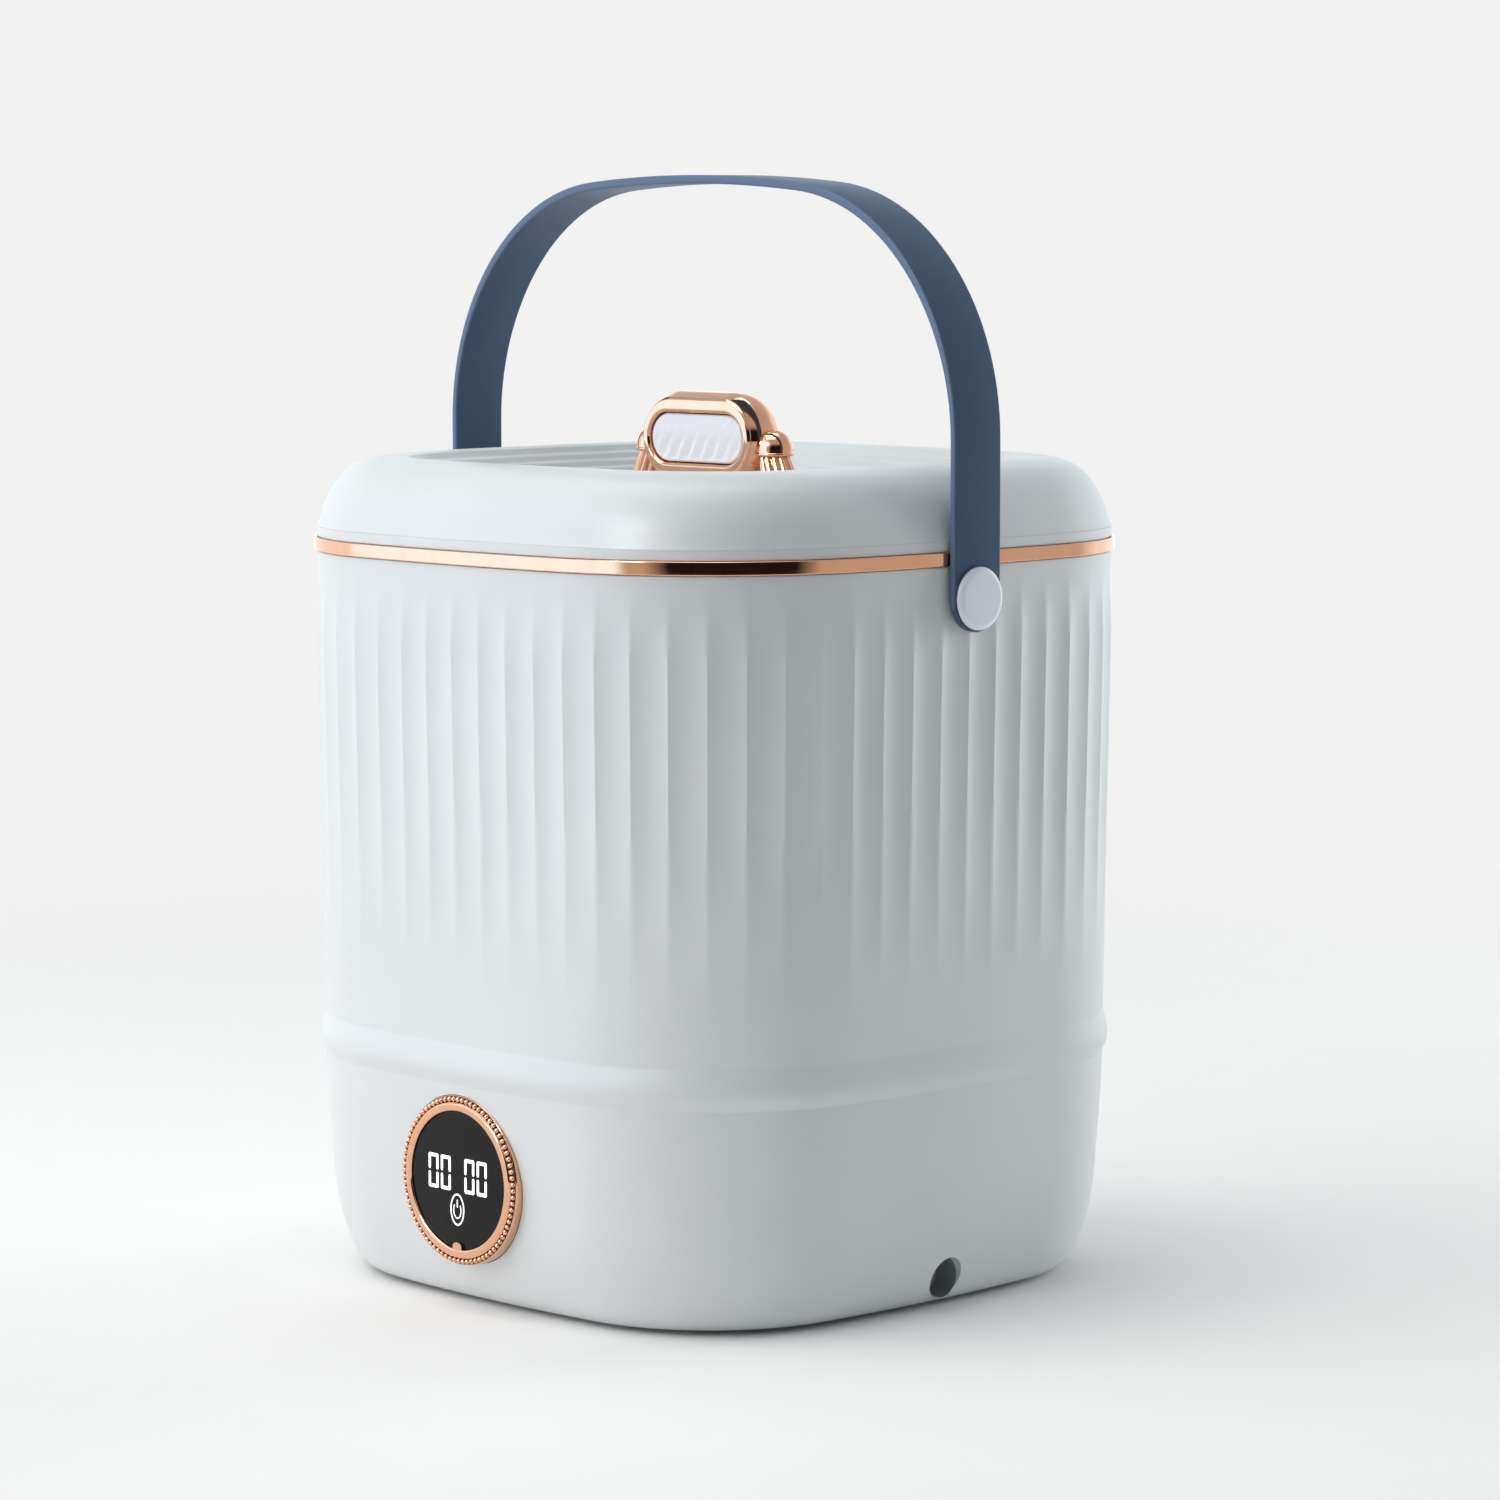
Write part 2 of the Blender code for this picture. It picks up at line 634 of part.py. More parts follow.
def build_base_housing():
    """Lower moulding: round-over wall, ledge for the cover, spigot for the shell, dial pocket, drain boss."""
    outer = base_profile()
    spigot_inset = SHELL_INNER_FOOT + GAP
    spigot_top = BASE_SEAM + BASE_SPIGOT_HEIGHT
    ledge_top = LEDGE_BOTTOM + LEDGE_THICKNESS
    base = plan_solid(
        "base_housing", outer + [(spigot_inset, BASE_SEAM), (spigot_inset, spigot_top)], BODY, closed=False
    )
    hollow = [
        (COVER_INSET - GAP, BASE_BOTTOM - OVERRUN), (COVER_INSET - GAP, LEDGE_BOTTOM),
        (COVER_INSET + LEDGE_WIDTH, LEDGE_BOTTOM), (COVER_INSET + LEDGE_WIDTH, ledge_top),
        (base_inset(ledge_top) + BASE_WALL, ledge_top),
    ]
    hollow += [(inset + BASE_WALL, height) for inset, height in outer[:-1] if height > ledge_top + BASE_WALL]
    hollow += [
        (spigot_inset + BASE_SPIGOT_WALL, BASE_SEAM), (spigot_inset + BASE_SPIGOT_WALL, spigot_top + OVERRUN)
    ]
    void = plan_solid("base_hollow", hollow, None, closed=False, cutter=True)
    boolean(void, disc(
        "dial_boss", DIAL_DIAMETER + 2 * POCKET_WALL, POCKET_FLOOR - POCKET_WALL, HALF_WIDTH + OVERRUN,
        None, (0, 0, DIAL_HEIGHT), "front", ROUND_STEPS, cutter=True,
    ))
    boolean(void, disc(
        "drain_boss", DRAIN_BORE_DIAMETER + 2 * DRAIN_BOSS_WALL, DRAIN_BOSS_START, HALF_WIDTH + OVERRUN,
        None, (0, 0, DRAIN_HEIGHT), "right", SMALL_STEPS, cutter=True,
    ))
    boolean(base, void)
    boolean(base, block(
        "drain_notch",
        (HALF_WIDTH - COVER_INSET - 2 * LEDGE_WIDTH, -DRAIN_NOTCH_WIDTH / 2, COVER_TOP - GAP),
        (DRAIN_BOSS_START - 4 * GAP, DRAIN_NOTCH_WIDTH / 2, ledge_top + OVERRUN), None, cutter=True,
    ))
    boolean(base, disc(
        "dial_pocket", DIAL_DIAMETER + 2 * GAP, POCKET_FLOOR, HALF_WIDTH + OVERRUN,
        None, (0, 0, DIAL_HEIGHT), "front", TURNED_STEPS, cutter=True,
    ))
    boolean(base, disc(
        "wire_hole", WIRE_HOLE_DIAMETER, POCKET_FLOOR - POCKET_WALL - OVERRUN, HALF_WIDTH,
        None, (0, 0, DIAL_HEIGHT), "front", ROUND_STEPS, cutter=True,
    ))
    boolean(base, disc(
        "drain_bore", DRAIN_BORE_DIAMETER, DRAIN_BOSS_START - OVERRUN, HALF_WIDTH + OVERRUN,
        None, (0, 0, DRAIN_HEIGHT), "right", ROUND_STEPS, cutter=True,
    ))
    boolean(base, disc(
        "inlet_hole", INLET_DIAMETER + 2 * GAP, HALF_WIDTH / 2, HALF_WIDTH + OVERRUN,
        None, (INLET_X, 0, INLET_HEIGHT), "back", SMALL_STEPS, cutter=True,
    ))
    for number, (x, y) in enumerate(cover_screw_places(), 1):
        boolean(base, disc(
            f"ledge_hole_{number}", SCREW_DIAMETER + 2 * GAP, BASE_BOTTOM - OVERRUN, ledge_top + OVERRUN,
            None, (x, y, 0), "up", SCREW_STEPS, cutter=True,
        ))
    return base


def four_corners(reach):
    """The corners of a square about the middle."""
    return [(reach, reach), (-reach, reach), (-reach, -reach), (reach, -reach)]


def cover_screw_places():
    """The middle of the ledge at the four round corners."""
    from_corner = CORNER_RADIUS - COVER_INSET - LEDGE_WIDTH * COVER_SCREW_PLACE_SHARE
    return four_corners(plan_corner()[0] + from_corner / sqrt(2))


def post_places():
    """Places of the three posts under the motor bracket, at its corners."""
    reach = BRACKET_HALF - BRACKET_CORNER
    low_x, high_x = MOTOR_X - reach, MOTOR_X + reach
    low_y, high_y = MOTOR_Y - reach, MOTOR_Y + reach
    return [(low_x, low_y), (high_x, high_y), (low_x, high_y)]


def board_post_places():
    """Places of the two posts under the control board, on its long axis."""
    reach = BOARD_LENGTH / 2 - BOARD_POST_INSET
    return [(BOARD_X - reach, BOARD_Y), (BOARD_X + reach, BOARD_Y)]


def build_bottom_cover():
    """Plate that closes the base, with posts for the motor bracket and the control board."""
    cover = plan_solid(
        "bottom_cover", [(COVER_INSET, BASE_BOTTOM), (COVER_INSET, COVER_TOP)], DARK, closed=False
    )
    tops = [(place_xy, BRACKET_LEVEL - GAP) for place_xy in post_places()]
    pegs = [(place_xy, COVER_TOP + BOARD_POST_HEIGHT) for place_xy in board_post_places()]
    for number, ((x, y), top) in enumerate(tops + pegs, 1):
        boolean(cover, disc(
            f"post_{number}", POST_DIAMETER, BASE_BOTTOM + COVER_THICKNESS / 2, top,
            None, (x, y, 0), "up", SMALL_STEPS, cutter=True,
        ), "UNION")
    for number, ((x, y), top) in enumerate(pegs, 1):
        boolean(cover, disc(
            f"peg_{number}", SCREW_DIAMETER, top - GAP, top + BOARD_THICKNESS + 4 * GAP,
            None, (x, y, 0), "up", SCREW_STEPS, cutter=True,
        ), "UNION")
    for number, ((x, y), top) in enumerate(tops, 1):
        boolean(cover, disc(
            f"post_hole_{number}", SCREW_DIAMETER + 2 * GAP, top - SCREW_LENGTH, top + OVERRUN,
            None, (x, y, 0), "up", SCREW_STEPS, cutter=True,
        ))
    for number, (x, y) in enumerate(four_corners(FOOT_PLACE), 1):
        boolean(cover, disc(
            f"foot_hole_{number}", FOOT_PLUG_DIAMETER + 2 * GAP, 0, COVER_TOP + OVERRUN,
            None, (x, y, 0), "up", SMALL_STEPS, cutter=True,
        ))
    for number, (x, y) in enumerate(cover_screw_places(), 1):
        boolean(cover, disc(
            f"cover_hole_{number}", SCREW_DIAMETER + 2 * GAP, 0, COVER_TOP + OVERRUN,
            None, (x, y, 0), "up", SCREW_STEPS, cutter=True,
        ))
    return cover


def build_feet():
    """Rubber pads with a plug through the cover."""
    for number, (x, y) in enumerate(four_corners(FOOT_PLACE), 1):
        plug_top = COVER_TOP + FOOT_PAD
        turned(f"foot_{number}", [
            (0, plug_top), (FOOT_PLUG_DIAMETER / 2, plug_top), (FOOT_PLUG_DIAMETER / 2, FOOT_PAD),
            (FOOT_DIAMETER / 2, FOOT_PAD), (FOOT_DIAMETER / 2, 0), (0, 0),
        ], RUBBER, (x, y, 0), steps=SMALL_STEPS)


def screw(name, x, y, seat, length):
    """A flat-head screw whose head sits on a seat and whose shank goes down from it."""
    head = SCREW_HEAD_DIAMETER / 2
    shank = SCREW_DIAMETER / 2
    return turned(name, [
        (0, SCREW_HEAD_HEIGHT), (head, SCREW_HEAD_HEIGHT), (head, GAP), (shank, GAP),
        (shank, -length), (0, -length),
    ], STEEL, (x, y, seat), steps=SCREW_STEPS)


def build_cover_screws():
    """Four screws from below, through the cover's rim into the ledge."""
    for number, (x, y) in enumerate(cover_screw_places(), 1):
        head = SCREW_HEAD_DIAMETER / 2
        shank = SCREW_DIAMETER / 2
        top = LEDGE_BOTTOM + LEDGE_THICKNESS
        seat = BASE_BOTTOM - GAP
        low = seat - COVER_HEAD_HEIGHT
        turned(f"cover_screw_{number}", [
            (0, top), (shank, top), (shank, seat), (head, seat), (head, low), (0, low),
        ], STEEL, (x, y, 0), steps=SCREW_STEPS)


def build_trim_and_collar():
    """Rose-gold ring in the shell's rebate, and the collar that the lid rests on."""
    back = SEAT_WALL_INSET - GAP
    plan_solid("trim_ring", [
        (back, TRIM_BOTTOM), (TRIM_INSET, TRIM_BOTTOM), (TRIM_INSET, TRIM_TOP), (back, TRIM_TOP),
    ], ROSE_GOLD, stations=even_plan(FLUTES))
    inner = tub_outer_inset(SHELL_TOP) + TUB_WALL
    lip = inner - COLLAR_LIP_WIDTH
    plan_solid("top_collar", [
        (COLLAR_INSET, COLLAR_BOTTOM), (COLLAR_INSET, COLLAR_TOP), (lip, COLLAR_TOP),
        (lip, COLLAR_TOP + COLLAR_LIP_HEIGHT), (inner, COLLAR_TOP + COLLAR_LIP_HEIGHT), (inner, COLLAR_BOTTOM),
    ], BODY)


# Wash tub

def tub_outer_inset(height):
    """Inset of the tub's outer wall: clear of the shell at the top, and drawn in towards the floor."""
    share = (SHELL_TOP - height) / (SHELL_TOP - TUB_FLOOR)
    return SHELL_INNER_TOP + TUB_CLEARANCE + TUB_DRAFT * share


def build_wash_tub():
    """Inner bucket that hangs by its flange on the shell, with a seal seat and a drain hole in its floor."""
    profile = []
    for step in range(TUB_ROUND_STEPS + 1):
        angle = pi / 2 * step / TUB_ROUND_STEPS
        height = TUB_FLOOR + TUB_ROUND * (1 - cos(angle))
        profile.append((tub_outer_inset(height) + TUB_ROUND * (1 - sin(angle)), height))
    flange_bottom = SHELL_TOP + GAP
    profile.append((tub_outer_inset(flange_bottom), flange_bottom))
    profile.append((SEAT_WALL_INSET, flange_bottom))
    profile.append((SEAT_WALL_INSET, TRIM_TOP))
    profile.append((tub_outer_inset(TRIM_TOP) + TUB_WALL, TRIM_TOP))
    inner_round = TUB_ROUND - TUB_WALL
    floor = TUB_FLOOR + TUB_FLOOR_THICKNESS
    for step in range(TUB_ROUND_STEPS + 1):
        angle = pi / 2 * (1 - step / TUB_ROUND_STEPS)
        height = floor + inner_round * (1 - cos(angle))
        profile.append((tub_outer_inset(height) + TUB_WALL + inner_round * (1 - sin(angle)), height))
    tub = plan_solid("wash_tub", profile, TUB, closed=False)
    boolean(tub, disc(
        "seal_hole", BEARING_DIAMETER + 2 * GAP, TUB_FLOOR - OVERRUN, floor + OVERRUN,
        None, (0, 0, 0), "up", ROUND_STEPS, cutter=True,
    ))
    boolean(tub, disc(
        "drain_hole", DRAIN_PIPE_DIAMETER + 2 * GAP, TUB_FLOOR - OVERRUN, floor + OVERRUN,
        None, (DRAIN_PIPE_X, 0, 0), "up", ROUND_STEPS, cutter=True,
    ))
    return tub


# Lid

def lid_profile():
    """Outer side of the lid: a superellipse from the seam up to the crest, then steps down into the recess."""
    points = []
    for step in range(LID_ROUND_STEPS + 1):
        angle = pi / 2 * step / LID_ROUND_STEPS
        rise = sin(angle) ** (2 / LID_POWER)
        run = 1 - cos(angle) ** (2 / LID_POWER)
        points.append((LID_INSET + (LID_CREST_INSET - LID_INSET) * run, LID_BOTTOM + LID_HEIGHT * rise))
    tread = (RECESS_INSET - LID_CREST_INSET - RECESS_LEAD) / RECESS_STEPS
    riser = RECESS_DEPTH / (RECESS_STEPS + 1)
    inset = LID_CREST_INSET + RECESS_LEAD
    level = LID_TOP - riser * RECESS_LIP_SHARE
    points.append((inset, level))
    for step in range(1, RECESS_STEPS + 1):
        foot = LID_TOP - riser * step
        points.append((inset + tread * (1 - RECESS_TREAD_SHARE), foot))
        inset += tread
        points.append((inset, foot - riser * RECESS_LIP_SHARE))
    return points


def build_lid():
    """Lid shell, the panel in its recess, the liner under it and the gasket that rests on the collar."""
    outer = lid_profile()
    seat = PANEL_TOP - PANEL_THICKNESS - GAP
    profile = list(outer)
    profile.append((RECESS_INSET, seat))
    profile.append((RECESS_INSET + PANEL_LEDGE_WIDTH, seat))
    profile.append((RECESS_INSET + PANEL_LEDGE_WIDTH, seat - LID_WALL))
    profile.append((RECESS_INSET - LID_WALL, seat - LID_WALL))
    profile.append((RECESS_INSET - LID_WALL, PANEL_TOP))
    profile.append((LID_CREST_INSET + RECESS_LEAD, LID_TOP - LID_WALL - RECESS_DEPTH / (RECESS_STEPS + 1)))
    for inset, height in outer[LID_ROUND_STEPS - 2::-2]:
        share = (height - LID_BOTTOM) / LID_HEIGHT
        profile.append((inset + LID_WALL * (1 - share ** 2), max(LID_BOTTOM, height - LID_WALL * share)))
    plan_solid("lid_shell", profile, BODY)
    panel = plan_solid("lid_panel", [
        (RECESS_INSET + GAP, PANEL_TOP - PANEL_THICKNESS), (RECESS_INSET + GAP, PANEL_TOP),
    ], BODY, closed=False)
    for side in (1, -1):
        boolean(panel, disc(
            f"panel_hole_{side + 2}", KNOB_SCREW_DIAMETER + 2 * GAP, PANEL_TOP - PANEL_THICKNESS - OVERRUN,
            PANEL_TOP + OVERRUN, None, (side * pillar_foot_x(), 0, 0), "up", SMALL_STEPS, cutter=True,
        ))
    liner_bottom = LID_BOTTOM + LINER_LIFT
    wall = LID_INSET + LID_WALL + LINER_CLEARANCE
    liner = wall + LINER_CLEARANCE
    plan_solid("lid_liner", [
        (liner, liner_bottom), (liner, liner_bottom + LINER_THICKNESS),
    ], TUB, closed=False)
    gasket_low = COLLAR_TOP + GAP
    plan_solid("lid_gasket", [
        (wall + GASKET_WIDTH, gasket_low), (wall, gasket_low), (wall, liner_bottom - GAP),
        (wall + GASKET_WIDTH, liner_bottom - GAP),
    ], RUBBER)


# Knob

def pillar_foot_x():
    """Where a pillar's foot stands, further out than its head."""
    return PILLAR_SPAN / 2 + PILLAR_LEAN


def barrel_sections():
    """Depth and growth of each oval section of the knob's barrel, from the frame to the rounded back."""
    front = -KNOB_DEPTH / 2
    sections = [
        (front, 0.0),
        (front + KNOB_FRAME_CHAMFER / 2, KNOB_SWELL * KNOB_SWELL_SHARE),
        (front + KNOB_FRAME_CHAMFER * 2, KNOB_SWELL),
    ]
    for step in range(KNOB_ROUND_STEPS + 1):
        angle = pi / 2 * step / KNOB_ROUND_STEPS
        depth = KNOB_DEPTH / 2 - KNOB_BACK_ROUND * (1 - sin(angle))
        sections.append((depth, KNOB_SWELL - KNOB_BACK_ROUND * (1 - cos(angle))))
    return sections


def build_knob():
    """Barrel with its oval pocket, press pad, spring, and two fluted pillars that hold the barrel's ends."""
    rings = [
        stadium(KNOB_LENGTH + 2 * growth, KNOB_HEIGHT + 2 * growth, KNOB_LEVEL, depth, SMALL_STEPS // 2)
        for depth, growth in barrel_sections()
    ]
    barrel = from_bmesh("knob_barrel", skin(rings), ROSE_GOLD)
    front = -KNOB_DEPTH / 2
    pocket = from_bmesh("pad_pocket", skin([
        stadium(PAD_LENGTH + 2 * PAD_GAP, PAD_HEIGHT + 2 * PAD_GAP, KNOB_LEVEL, depth, SMALL_STEPS // 2)
        for depth in (front - OVERRUN, front + PAD_SINK + PAD_THICKNESS + PAD_STROKE + GAP)
    ]), None, cutter=True)
    boolean(barrel, pocket)
    boolean(barrel, disc(
        "stem_bore", SPRING_DIAMETER + SPRING_WIRE + 2 * GAP, KNOB_DEPTH / 2 - POCKET_DEPTH,
        KNOB_DEPTH / 2, None, (0, 0, KNOB_LEVEL), "front", ROUND_STEPS, cutter=True,
    ))
    for side in (1, -1):
        grown = pillar(f"pillar_pocket_{side + 2}", side, GAP, cutter=True)
        boolean(barrel, grown)
        pillar("knob_pillar_right" if side > 0 else "knob_pillar_left", side, 0.0)
        seat = PANEL_TOP - PANEL_THICKNESS
        turned(f"knob_screw_{'right' if side > 0 else 'left'}", [
            (0, KNOB_SCREW_LENGTH), (KNOB_SCREW_DIAMETER / 2, KNOB_SCREW_LENGTH),
            (KNOB_SCREW_DIAMETER / 2, -GAP),
            (KNOB_SCREW_DIAMETER, -GAP), (KNOB_SCREW_DIAMETER, -GAP - SCREW_HEAD_HEIGHT),
            (0, -GAP - SCREW_HEAD_HEIGHT),
        ], STEEL, (side * pillar_foot_x(), 0, seat), steps=SMALL_STEPS)
    face = front + PAD_SINK
    pad_rings = [
        stadium(PAD_LENGTH - 2 * PAD_ROUND, PAD_HEIGHT - 2 * PAD_ROUND, KNOB_LEVEL, face, SMALL_STEPS // 2),
        stadium(PAD_LENGTH, PAD_HEIGHT, KNOB_LEVEL, face + PAD_ROUND, SMALL_STEPS // 2),
        stadium(PAD_LENGTH, PAD_HEIGHT, KNOB_LEVEL, face + PAD_THICKNESS, SMALL_STEPS // 2),
    ]
    pad = from_bmesh("knob_pad", skin(pad_rings), PAD)
    stem = disc(
        "pad_stem", PAD_STEM_DIAMETER, -face - PAD_THICKNESS - PAD_STEM_LENGTH, -face - PAD_THICKNESS / 2,
        None, (0, 0, KNOB_LEVEL), "front", SMALL_STEPS, cutter=True,
    )
    boolean(pad, stem, "UNION")
    build_pad_spring(face + PAD_THICKNESS + PAD_STROKE + GAP)


def pillar(name, side, growth, cutter=False):
    """A fluted post that leans out to its foot, under a collar and a domed head."""
    head_radius = PILLAR_HEAD_DIAMETER / 2 + growth
    neck = PANEL_TOP + PILLAR_NECK_LIFT
    foot = PANEL_TOP + GAP
    count = PILLAR_FLUTES * 2
    head_x = side * PILLAR_SPAN / 2
    foot_x = side * pillar_foot_x()
    rings = []
    for share in (0.0, 1.0):
        radius = (PILLAR_FOOT_DIAMETER + (PILLAR_TOP_DIAMETER - PILLAR_FOOT_DIAMETER) * share) / 2 + growth
        centre = foot_x + (head_x - foot_x) * share
        height = foot - growth + (neck - foot) * share
        rings.append([
            (
                centre + (radius - PILLAR_FLUTE_DEPTH * (k % 2)) * cos(2 * pi * k / count),
                (radius - PILLAR_FLUTE_DEPTH * (k % 2)) * sin(2 * pi * k / count),
                height,
            )
            for k in range(count)
        ])
    collar = neck - growth + PILLAR_COLLAR_HEIGHT
    levels = [(head_radius, neck - growth), (head_radius, collar)]
    for step in range(1, DOME_STEPS):
        angle = pi / 2 * step / DOME_STEPS
        levels.append((head_radius * cos(angle), collar + head_radius * sin(angle)))
    levels.append((head_radius * DOME_TIP_SHARE, collar + head_radius))
    for radius, height in levels:
        rings.append([
            (head_x + radius * cos(2 * pi * k / count), radius * sin(2 * pi * k / count), height)
            for k in range(count)
        ])
    post = from_bmesh(name, skin(rings), ROSE_GOLD, cutter)
    if not cutter:
        boolean(post, disc(
            f"{name}_tap", KNOB_SCREW_DIAMETER + 2 * GAP, -OVERRUN, KNOB_SCREW_LENGTH - PANEL_THICKNESS + GAP,
            None, (foot_x, 0, PANEL_TOP), "up", SMALL_STEPS, cutter=True,
        ))
    return post


def build_pad_spring(start):
    """Coil behind the pad, drawn as short as it is when the pad is pressed home."""
    end = KNOB_DEPTH / 2 - KNOB_DEPTH + POCKET_DEPTH
    radius = SPRING_DIAMETER / 2
    low = start + SPRING_WIRE / 2
    high = end - SPRING_WIRE / 2 - GAP
    count = SPRING_TURNS * SPRING_POINTS_PER_TURN
    curve = bpy.data.curves.new("pad_spring", "CURVE")
    curve.dimensions = "3D"
    curve.bevel_depth = SPRING_WIRE / 2
    curve.bevel_resolution = 0
    curve.use_fill_caps = True
    spline = curve.splines.new("POLY")
    spline.points.add(count)
    for index in range(count + 1):
        angle = 2 * pi * index / SPRING_POINTS_PER_TURN
        depth = low + (high - low) * index / count
        spline.points[index].co = (radius * cos(angle), depth, KNOB_LEVEL + radius * sin(angle), 1)
    spring = bpy.data.objects.new("pad_spring", curve)
    PARTS.objects.link(spring)
    curve.materials.append(STEEL)
    return spring


# Handle

def strap_path():
    """Outer line of the strap from the left foot over the top to the right foot: (x, height, inward normal)."""
    centre_x = STRAP_HALF_SPAN - STRAP_CORNER_RADIUS
    centre_z = STRAP_TOP - STRAP_CORNER_RADIUS
    foot = PIVOT_HEIGHT - STRAP_WIDTH
    points = [(-STRAP_HALF_SPAN, foot, (1, 0))]
    for step in range(STRAP_STEPS + 1):
        angle = pi / 2 * step / STRAP_STEPS
        points.append((
            -centre_x - STRAP_CORNER_RADIUS * cos(angle), centre_z + STRAP_CORNER_RADIUS * sin(angle),
            (cos(angle), -sin(angle)),
        ))
    mirrored = [(-x, z, (-nx, nz)) for x, z, (nx, nz) in points[::-1]]
    return points + mirrored


def build_handle():
    """Flat strap bent over the lid, with round ends on the pivots."""
    half = STRAP_WIDTH / 2
    rings = []
    for x, z, (nx, nz) in strap_path():
        inner_x = x + nx * STRAP_THICKNESS
        inner_z = z + nz * STRAP_THICKNESS
        rings.append([(x, -half, z), (x, half, z), (inner_x, half, inner_z), (inner_x, -half, inner_z)])
    strap = from_bmesh("handle_strap", skin(rings), STRAP)
    reach = STRAP_HALF_SPAN + OVERRUN
    trim = disc(
        "strap_end", STRAP_WIDTH, -reach, reach, None, (0, 0, PIVOT_HEIGHT), "right", ROUND_STEPS, cutter=True
    )
    above = block(
        "strap_above", (-reach, -half, PIVOT_HEIGHT), (reach, half, STRAP_TOP + OVERRUN), None, cutter=True
    )
    boolean(trim, above, "UNION")
    boolean(strap, trim, "INTERSECT")
    for side in ("right", "left"):
        boolean(strap, pivot_bore(f"strap_bore_{side}", side))
    return strap


def build_pivots():
    """On each side: a headed pin from inside the shell, a washer, and the round cap on the pin's end."""
    for side in ("right", "left"):
        location = (0, 0, PIVOT_HEIGHT)
        wall_inside = HALF_WIDTH - shell_inner_inset(PIVOT_HEIGHT) - GAP * 2
        cap_back = STRAP_HALF_SPAN + GAP
        pin_end = cap_back + CAP_THICKNESS / 2
        radius = PIVOT_DIAMETER / 2
        head = PIVOT_HEAD_DIAMETER / 2
        turned(f"pivot_pin_{side}", [
            (0, pin_end), (radius, pin_end), (radius, wall_inside), (head, wall_inside),
            (head, wall_inside - PIVOT_HEAD_THICKNESS), (0, wall_inside - PIVOT_HEAD_THICKNESS),
        ], STEEL, location, side, SMALL_STEPS)
        cap = CAP_DIAMETER / 2
        cap_front = cap_back + CAP_THICKNESS
        turned(f"pivot_cap_{side}", [
            (0, cap_front), (cap - CAP_CHAMFER, cap_front), (cap, cap_front - CAP_CHAMFER), (cap, cap_back),
            (radius + GAP, cap_back), (radius + GAP, pin_end + GAP), (0, pin_end + GAP),
        ], CAP, location, side, ROUND_STEPS)
        washer_out = STRAP_HALF_SPAN - STRAP_THICKNESS - GAP
        washer_in = HALF_WIDTH - ridge_inset(PIVOT_HEIGHT - WASHER_DIAMETER / 2) + GAP
        turned(f"pivot_washer_{side}", ring_outline(
            WASHER_DIAMETER / 2, radius + GAP, washer_in, washer_out,
        ), TUB, location, side, ROUND_STEPS, closed=True)


# Dial

def build_dial():
    """Fixed housing with its glass and board, and the ring that turns round them."""
    centre = (0, 0, DIAL_HEIGHT)
    back = POCKET_FLOOR + GAP
    lip_front = DIAL_FRONT
    glass_front = lip_front - DIAL_LIP - GAP
    glass_back = glass_front - GLASS_THICKNESS
    outer = DIAL_DIAMETER / 2
    window = DIAL_WINDOW_DIAMETER / 2
    housing = HOUSING_DIAMETER / 2
    bore = housing + GAP
    lip = window + DIAL_LIP_WIDTH
    track = lip + DIAL_LIP_ROUND
    ring = turned("dial_ring", [
        (window + DIAL_LIP_ROUND, lip_front), (lip, lip_front), (track, lip_front - DIAL_TRACK_DEPTH),
        (track + DIAL_TRACK_WIDTH, lip_front - DIAL_TRACK_DEPTH), (outer, lip_front - DIAL_RIM_DROP),
        (outer, back), (bore, back), (bore, glass_front + GAP), (window, glass_front + GAP),
    ], ROSE_GOLD, centre, "front", TURNED_STEPS, closed=True)
    tab = block(
        "dial_tab", (-DIAL_TAB_WIDTH / 2, -lip_front + GAP, DIAL_HEIGHT - window - DIAL_LIP_ROUND),
        (DIAL_TAB_WIDTH / 2, -glass_front - GAP, DIAL_HEIGHT - window + DIAL_TAB_LENGTH), None, cutter=True,
    )
    boolean(ring, tab, "UNION")
    turned("display_glass", [
        (0, glass_front), (GLASS_DIAMETER / 2, glass_front), (GLASS_DIAMETER / 2, glass_back), (0, glass_back),
    ], GLASS, centre, "front", TURNED_STEPS)
    floor = back + HOUSING_WALL
    inner = housing - HOUSING_WALL
    seat = glass_back - GAP
    wire = WIRE_HOLE_DIAMETER / 2 - HOUSING_WALL
    turned("display_housing", [
        (housing, seat), (housing, back), (wire, back), (wire, floor), (inner, floor), (inner, seat),
    ], DARK, centre, "front", TURNED_STEPS, closed=True)
    turned("display_board", [
        (0, floor + GAP + BOARD_THICKNESS), (inner - GAP, floor + GAP + BOARD_THICKNESS),
        (inner - GAP, floor + GAP), (0, floor + GAP),
    ], BOARD, centre, "front", ROUND_STEPS)


# Drain

